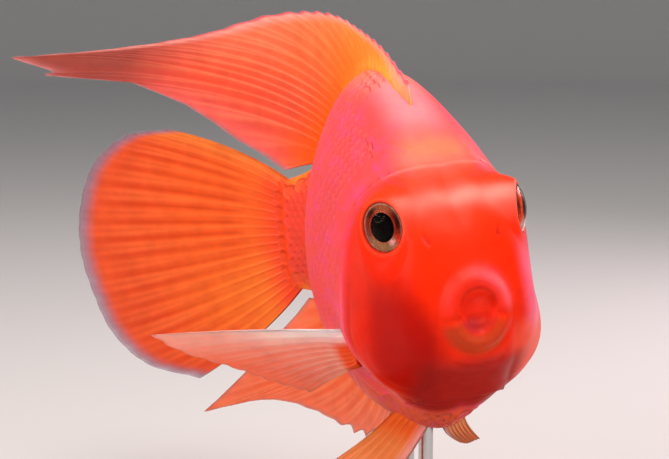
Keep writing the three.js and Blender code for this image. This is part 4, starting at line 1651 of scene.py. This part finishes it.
@dataclass(frozen=True)
class PairedFin(Fin):
    """A fin of a pair: rays that fan out from a short line on the body's side."""

    side: Side = Side.RIGHT
    top: tuple[float, float, float] = (0.0, 0.0, 0.0)
    bottom: tuple[float, float, float] = (0.0, 0.0, 0.0)
    leading: tuple[float, float, float] = (1.0, 0.0, 0.0)
    trailing: tuple[float, float, float] = (0.0, 0.0, 1.0)
    fan: float = 40.0
    lengths: tuple[float, ...] = ()
    curl: float = 1.0
    notch: float = 0.7

    def mirrored(self, vector: Sequence[float]) -> Array:
        """Take a place given for the left side over to this fin's side."""
        return np.array([vector[0], self.side.value * vector[1], vector[2]])

    def sheet(self, ray: Array, row: Array) -> Array:
        """Give points of the fin's middle surface on the straight fish."""
        ray, row = np.broadcast_arrays(ray, row)
        first = unit(self.mirrored(self.leading))
        spread = self.mirrored(self.trailing)
        spread = unit(spread - (spread @ first) * first)
        bend = np.cross(first, spread) * self.curl
        across = ray / self.last_ray
        angle = np.radians(self.fan) * across
        direction = first * np.cos(angle)[..., None] + spread * np.sin(angle)[..., None]
        length = natural_spline(np.linspace(0, 1, len(self.lengths)), self.lengths)(across)
        length = length - self.notch * np.sin(math.pi * ray) ** 2 + self.root
        start = lerp(self.mirrored(self.top), self.mirrored(self.bottom), across[..., None])
        start = start - direction * self.root
        return (start + direction * (length * row)[..., None]
                + bend * np.sin(math.pi * row)[..., None])


DORSAL_PALETTE = FinPalette(
    root="#ff5c04", middle="#fc5c3c", outer="#fb6660", web="#e03c20", ray="#ff9a68",
    margin="#c88088", leading="#ffa63c", root_reach=17, web_strength=0.35, leading_rays=24,
    leading_strength=0.95, margin_width=3.5, margin_clear=0.4, tip="#ffb0a8", tip_rays=(-3, 24),
    tip_width=9, trail="#80443c", trail_from=50)
ANAL_PALETTE = FinPalette(
    root="#ff6818", middle="#ff7038", outer="#ff7c58", web="#f05828", ray="#ff9c6c",
    margin="#d8887c", leading="#ff8478", root_reach=12, leading_rays=5, leading_strength=0.35,
    margin_width=2.5, margin_clear=0.3)
CAUDAL_PALETTE = FinPalette(
    root=CAUDAL_ROOT, middle="#ff6c24", outer="#dc5428", web="#cc3408", ray="#ff8044",
    margin="#8e88a4", leading="#ff9440", root_reach=11, web_strength=0.65, ray_strength=0.4,
    leading_rays=3, leading_strength=0.6, margin_width=6, margin_clear=0.6, stripes_from=13,
    rear="#ff7e28", rear_from=9)
# The pectorals' near-white leading rays, palest by the root: partly the fin's own pale first rays, partly a
# painted highlight.
PECTORAL_PALETTE = FinPalette(
    root="#ff541c", middle="#ffa08c", outer="#ff8260", web="#ff7e62", ray="#ffb4a2",
    margin="#f09080", leading="#fff4f2", root_reach=4, leading_rays=3.4, leading_strength=1.0,
    leading_fade=0.72, margin_width=1.2, margin_clear=0.2)
PELVIC_PALETTE = FinPalette(
    root="#ff681c", middle="#ff8438", outer="#ff8448", web="#ff7630", ray="#ffa06c",
    margin="#f4a49c", leading="#ffaaa8", root_reach=7, leading_rays=1.6, leading_strength=0.8,
    margin_width=1.5, margin_clear=0.3)

DORSAL = KeelFin(
    name="dorsal_fin", slot="fin", replaces=("dorsal_fin_spiny", "dorsal_fin_soft"), palette=DORSAL_PALETTE,
    root=2.6, last_ray=27, spines=14, soft_front=8, soft_rear=5, base=(42, 117), spine_base=0.7,
    spine_reach=0.52, bow=0.06, jag=1.0, notch=0.5, fork=7, fillet=(3.0, 4.0),
    front=((43, 54.5), (65, 63), (90, 68.4), (113, 73.2), (137, 73.6), (160, 69.6), (190, 68), (222, 68.5)),
    rear=((211, 61.7), (184, 57.2), (167, 48.5), (152, 36.5), (136.5, 26.0)))
ANAL = KeelFin(
    name="anal_fin", slot="fin", replaces=("anal_fin_spiny", "anal_fin_soft"), palette=ANAL_PALETTE,
    root=2.6, last_ray=16, spines=6, soft_front=6, soft_rear=4, base=(80, 116), spine_base=0.45,
    spine_reach=0.5, bow=-0.07, jag=2, notch=0.4, on_back=False, fillet=(2.4, 3.5),
    front=((90, -41), (104, -53), (118, -55.8), (132, -51), (150, -46.5), (173, -49.5)),
    rear=((164, -42.5), (154, -34), (144, -24.5), (132.5, -14)))
CAUDAL = TailFin(
    name="caudal_fin", slot="fin", replaces=("caudal_fin",), palette=CAUDAL_PALETTE, root=2.5, last_ray=18,
    notch=0.15, fillet=(1.0, 5.0))


def paired(kind: str, side: Side, **shape: Any) -> PairedFin:
    """Describe one fin of a pair.

    Args:
        kind: the pair's name.
        side: the fin's side.
        shape: its palette and measures.

    Returns:
        The fin.
    """
    name = f"{kind}_{side.name.lower()}"
    return PairedFin(name=name, slot="paired_fin", replaces=(name,), root=2.5, side=side, **shape)


PECTORALS = (
    paired("pectoral_fin", Side.RIGHT, palette=PECTORAL_PALETTE, last_ray=9, top=(41.5, 24.6, -8),
           bottom=(45, 21.2, -19), leading=(0.3, 0.95, 0.07), trailing=(0.87, 0.1, -0.48), fan=54,
           lengths=(50, 44, 36, 31, 27, 23), curl=0.7, fillet=(2.4, 4.0)),
    paired("pectoral_fin", Side.LEFT, palette=PECTORAL_PALETTE, last_ray=9, top=(41.5, 24.6, -8),
           bottom=(45, 22.4, -19), leading=(0.96, 0.18, 0.06), trailing=(0.25, 0.08, -0.95), fan=40,
           lengths=(48, 44, 37, 31, 26, 21), curl=1.2, fillet=(2.4, 4.0)),
)
PELVICS = (
    paired("pelvic_fin", Side.RIGHT, palette=PELVIC_PALETTE, last_ray=6, top=(44, 3.5, -37),
           bottom=(51, 11.5, -34.5), leading=(0.15, 0.62, -0.77), trailing=(0.66, 0.55, -0.3), fan=22,
           lengths=(46, 40, 33, 27, 22), curl=-1, fillet=(1.8, 3.0)),
    paired("pelvic_fin", Side.LEFT, palette=PELVIC_PALETTE, last_ray=6, top=(44.5, 0.8, -37.5),
           bottom=(51, 8.5, -36), leading=(0.84, 0.37, -0.4), trailing=(0.75, 0.38, -0.54), fan=10,
           lengths=(36, 35, 32, 29, 27), curl=-1, fillet=(1.8, 3.0)),
)


@dataclass(frozen=True)
class Eye:
    """An eyeball with a rounded black pupil in a shallow iris, and a clear dome over them."""

    side: Side
    seat: EyeSeat = PLAN.eye
    pupil: float = 3.7
    iris: float = 5.95
    iris_edge: float = 2.55
    iris_height: float = 2.75
    dome_height: float = 5.3
    dome_reach: float = 6.12
    dome_wall: float = 0.2
    ground: str = "#7c2a18"
    lower_iris: str = "#a5845c"
    upper_iris: str = "#b06a48"
    inner_ring: str = "#c8442a"
    patch: str = "#170406"
    outer_ring: str = "#e2b09c"
    flush: str = "#e4301c"
    glint: str = "#ffccd4"
    wall: str = "#8a2c1c"
    black: str = "#010101"
    around: int = 96

    def lathe(self, profile: Array) -> tuple[Array, Array]:
        """Turn a profile round the eye's axis.

        Args:
            profile: radius and height of each ring.

        Returns:
            Points on the straight fish, and each point's angle round the axis, with 0 straight
            up and positive towards the snout.
        """
        axis = self.seat.axis(self.side)
        up = unit(np.array([0.0, 0.0, 1.0]) - axis[2] * axis)
        ahead = np.cross(up, axis) * self.side.value
        if ahead[0] > 0:
            ahead = -ahead
        clock = np.linspace(0, 2 * math.pi, self.around, endpoint=False)
        radius, height = profile[:, 0, None], profile[:, 1, None]
        ring = np.cos(clock)[None, :, None] * up + np.sin(clock)[None, :, None] * ahead
        points = self.seat.centre(self.side) + ring * radius[..., None] + axis * height[..., None]
        return points, np.broadcast_to(clock, points.shape[:2])

    def mesh(self, name: str, profile: Array, painted_iris: bool) -> bpy.types.Mesh:
        """Make a turned mesh of the eye with closed poles.

        Args:
            name: the mesh's name.
            profile: radius and height of each ring, the first and last on the axis.
            painted_iris: whether it carries the eye's colours.

        Returns:
            The mesh.
        """
        points, clock = self.lathe(profile[1:-1])
        centre, axis = self.seat.centre(self.side), self.seat.axis(self.side)
        poles = np.stack([centre + axis * profile[0, 1], centre + axis * profile[-1, 1]])
        flat = np.concatenate([points.reshape(-1, 3), poles])
        layers = {}
        if painted_iris:
            radius, height = (np.concatenate([np.repeat(profile[1:-1, k], self.around), profile[[0, -1], k]])
                              for k in (0, 1))
            turn = np.concatenate([clock.ravel(), [0.0, 0.0]])
            layers["tone"] = self.tone(radius, height, turn)
        return new_mesh(name, POSE.place(flat), capped_faces(len(profile) - 2, self.around), layers)

    def tone(self, radius: Array, height: Array, clock: Array) -> Array:
        """Give the eyeball's colours.

        Args:
            radius: each point's distance from the eye's axis.
            height: its distance along that axis from the centre.
            clock: its angle round the axis, 0 straight up and positive towards the snout.

        Returns:
            Linear colours.
        """
        down = 0.5 - 0.5 * np.cos(clock)
        patches = sum(bump(np.abs(np.angle(np.exp(1j * (clock - at)))), 0.0, width)
                      for at, width in ((1.3, 0.5), (-0.75, 0.35)))
        return layered(
            plain(self.ground, radius.shape),
            (self.lower_iris, 0.9 * smooth((down - 0.66) / 0.26)),
            (self.upper_iris, 0.6 * smooth((0.2 - down) / 0.2)),
            (self.inner_ring, 0.55 * bump(radius, self.pupil + 0.25, 0.25)),
            (self.patch, 0.95 * patches * bump(radius, 4.9, 0.8)),
            (self.outer_ring, 0.75 * bump(radius, self.iris - 0.1, 0.16)),
            (self.flush, 0.85 * bump(clock, 2.1, 0.3) * smooth((radius - 4.3) / 0.5)),
            (self.glint, 0.95 * bump(clock, 2.5, 0.2) * bump(radius, 4.5, 0.7)),
            (self.wall, smooth((radius - self.iris - 0.02) / 0.1)),
            (self.black, (radius < self.pupil + 0.02) * (height > 0)))

    def build(self, ball_finish: bpy.types.Material, dome_finish: bpy.types.Material) -> None:
        """Make the eyeball and its dome.

        Args:
            ball_finish: the painted eyeball's material.
            dome_finish: the clear dome's material.
        """
        name = f"eye_{self.side.name.lower()}"
        inner = math.hypot(self.iris + 0.05, self.iris_edge)
        lens = [(r, self.iris_height + 0.75 - 0.05 * r * r) for r in np.linspace(0, self.pupil, 8)]
        iris = [(r, lerp(self.iris_height + 0.1, self.iris_edge + 0.05,
                         smooth((r - self.pupil) / (self.iris - self.pupil))))
                for r in np.linspace(self.pupil + 0.04, self.iris, 12)]
        start = math.asin((self.iris + 0.05) / inner)
        ball = [(inner * math.sin(a), inner * math.cos(a)) for a in np.linspace(start, math.pi, 22)]
        profile = np.array(lens + iris + ball)
        add_piece(f"{name}_ball", self.mesh(f"{name}_ball", profile, True), ball_finish, (name,))
        tall = self.dome_height - self.iris_edge - 0.2
        round_off = (self.dome_reach ** 2 + tall ** 2) / (2 * tall)
        dome = []
        for bulge, reach in ((round_off, 1), (round_off - self.dome_wall, -1)):
            span = np.linspace(0, math.asin(self.dome_reach / round_off), 22)[::reach]
            dome += [(bulge * math.sin(a), self.dome_height - round_off + bulge * math.cos(a)) for a in span]
        add_piece(f"{name}_cornea", self.mesh(f"{name}_cornea", np.array(dome), False), dome_finish)


EYES = (
    Eye(Side.RIGHT),
    Eye(Side.LEFT, pupil=2.9, iris_height=3.8, iris_edge=2.9, dome_height=4.8, ground="#e8502c"),
)


@dataclass(frozen=True)
class DisplayStand:
    """A turned wooden disc, and the finish of the part's two steel rods that hold the fish up."""

    radius: float = 62.0
    thickness: float = 9.0
    rounding: float = 1.2
    sides: int = 192

    def build(self) -> None:
        """Turn the base with rounded edges and give the rods their finish."""
        corner = np.radians(np.linspace(0, 90, 7))
        inset = self.radius - self.rounding
        lower = [(inset + self.rounding * math.sin(a), self.rounding * (1 - math.cos(a))) for a in corner]
        upper = [(inset + self.rounding * math.cos(a), self.thickness - self.rounding * (1 - math.sin(a)))
                 for a in corner]
        rings = [(inset * k, 0.0) for k in (0.3, 0.7, 0.95)] + lower + upper
        rings += [(inset * k, self.thickness) for k in (0.95, 0.7, 0.3)]
        turn = np.linspace(0, 2 * math.pi, self.sides, endpoint=False)
        points = np.array([[(r * math.cos(a), r * math.sin(a), z) for a in turn] for r, z in rings])
        flat = np.concatenate([points.reshape(-1, 3), [[0, 0, 0], [0, 0, self.thickness]]]) * MM
        mesh = new_mesh("stand_disc", flat, capped_faces(len(rings), self.sides), {})
        add_piece("stand_disc", mesh, StainedBeech().material(), ("stand_base",))
        steel = BrushedSteel().material()
        for name in ("stand_rod_front", "stand_rod_rear"):
            rod = bpy.data.objects[name]
            rod.data.materials.clear()
            rod.data.materials.append(steel)


@dataclass(frozen=True)
class Lamp:
    """A square soft lamp that points at the fish, measured in metres and watts."""

    name: str
    place: tuple[float, float, float]
    size: float
    power: float
    colour: str
    aim: tuple[float, float, float] = (-0.01, 0.0, 0.095)

    def hang(self) -> None:
        """Add the lamp to the scene."""
        data = bpy.data.lights.new(self.name, "AREA")
        data.size, data.energy, data.color = self.size, self.power, rgba(self.colour)[:3]
        lamp = bpy.data.objects.new(self.name, data)
        lamp.location = self.place
        lamp.rotation_euler = (Vector(self.aim) - Vector(self.place)).to_track_quat("-Z", "Y").to_euler()
        bpy.context.scene.collection.objects.link(lamp)


@dataclass(frozen=True)
class Studio:
    """A pale paper cove, soft lamps and the camera at the photograph's angle."""

    azimuth: float = math.radians(-14)
    elevation: float = math.radians(8)
    distance: float = 430.0
    focal: float = 1793.1
    mouth_pixel: tuple[float, float] = (480.0, 312.0)
    frame_size: tuple[float, float] = (669.0, 459.0)
    floor: float = 2.4
    cove_bend: float = 0.6
    cove_sides: int = 96
    wall: float = 3.2
    lamps: tuple[Lamp, ...] = (
        Lamp("key_lamp", (-0.06, -0.2, 0.95), 0.6, 8.5, "#fff8f2"),
        Lamp("front_lamp", (0.35, -0.85, 0.4), 0.5, 3.0, "#fff6f0"),
        Lamp("side_lamp", (-0.8, -0.05, 0.45), 0.6, 4.5, "#fff2ee"),
        Lamp("rim_lamp", (0.5, 0.3, 0.35), 0.25, 1.6, "#ffe4ee"),
    )

    def camera(self) -> None:
        """Set the camera so that the mouth falls on its place in the photograph."""
        toward = Vector((math.sin(self.azimuth) * math.cos(self.elevation),
                         -math.cos(self.azimuth) * math.cos(self.elevation), math.sin(self.elevation)))
        right = Vector((math.cos(self.azimuth), math.sin(self.azimuth), 0.0))
        up = toward.cross(right)
        across = (self.mouth_pixel[0] - self.frame_size[0] / 2) / self.focal * self.distance
        above = (self.frame_size[1] / 2 - self.mouth_pixel[1]) / self.focal * self.distance
        mouth = Vector((0.0, POSE.snout_y, POSE.mouth_height))
        data = bpy.data.cameras.new("camera")
        data.lens = self.focal / self.frame_size[0] * data.sensor_width
        data.clip_start, data.clip_end = 0.01, 20.0
        camera = bpy.data.objects.new("camera", data)
        camera.location = (mouth + toward * self.distance - right * across - up * above) * MM
        camera.rotation_euler = (-toward).to_track_quat("-Z", "Y").to_euler()
        bpy.context.scene.collection.objects.link(camera)
        bpy.context.scene.camera = camera

    def cove(self) -> None:
        """Lay a round floor of paper that curves up to a wall all round the model."""
        bend = [(self.floor + self.cove_bend * math.sin(a), self.cove_bend * (1 - math.cos(a)))
                for a in np.radians(np.linspace(0, 90, 20))]
        course = [(0.3, 0.0), (1.0, 0.0), *bend, (self.floor + self.cove_bend, self.wall)]
        count = self.cove_sides
        turn = np.linspace(0, 2 * math.pi, count, endpoint=False)
        points = [(0.0, 0.0, 0.0)] + [(r * math.cos(a), r * math.sin(a), z) for r, z in course for a in turn]
        faces = [[0, 1 + j, 1 + (j + 1) % count] for j in range(count)]
        faces += [[a + 1, d + 1, c + 1, b + 1] for a, b, c, d in grid_faces(len(course), count).tolist()]
        mesh = bpy.data.meshes.new("paper_cove")
        mesh.from_pydata(points, [], faces)
        mesh.shade_smooth()
        mesh.materials.append(MattPaper("studio_paper", "#cac8c6").material())
        cove = bpy.data.objects.new("paper_cove", mesh)
        bpy.context.scene.collection.objects.link(cove)

    def build(self) -> None:
        """Set up the camera, the paper, the lamps and the colour management."""
        self.camera()
        self.cove()
        for lamp in self.lamps:
            lamp.hang()
        scene = bpy.context.scene
        world = bpy.data.worlds.new("studio_air")
        scene.world = world
        world.use_nodes = True
        air = world.node_tree.nodes["Background"]
        air.inputs["Color"].default_value = rgba("#e8eaf0")
        air.inputs["Strength"].default_value = 0.5
        scene.view_settings.view_transform = "Standard"


def main() -> None:
    """Build the model piece by piece and set it in the studio."""
    logging.basicConfig(level=logging.INFO, format="%(name)s %(message)s")
    Studio().build()
    Skin().build()
    scale_finish = WetSkin("wet_fish_scale", scaly=True).material()
    for side in Side:
        ScaleCoat(side).build(scale_finish)
    film = FinMembrane("tinted_fin_film").material()
    for fin in (DORSAL, ANAL, CAUDAL, *PECTORALS, *PELVICS):
        fin.build(film)
    ball, dome = WetEye().material(), ClearDome().material()
    for eye in EYES:
        eye.build(ball, dome)
    DisplayStand().build()


if __name__ == "__main__":
    main()
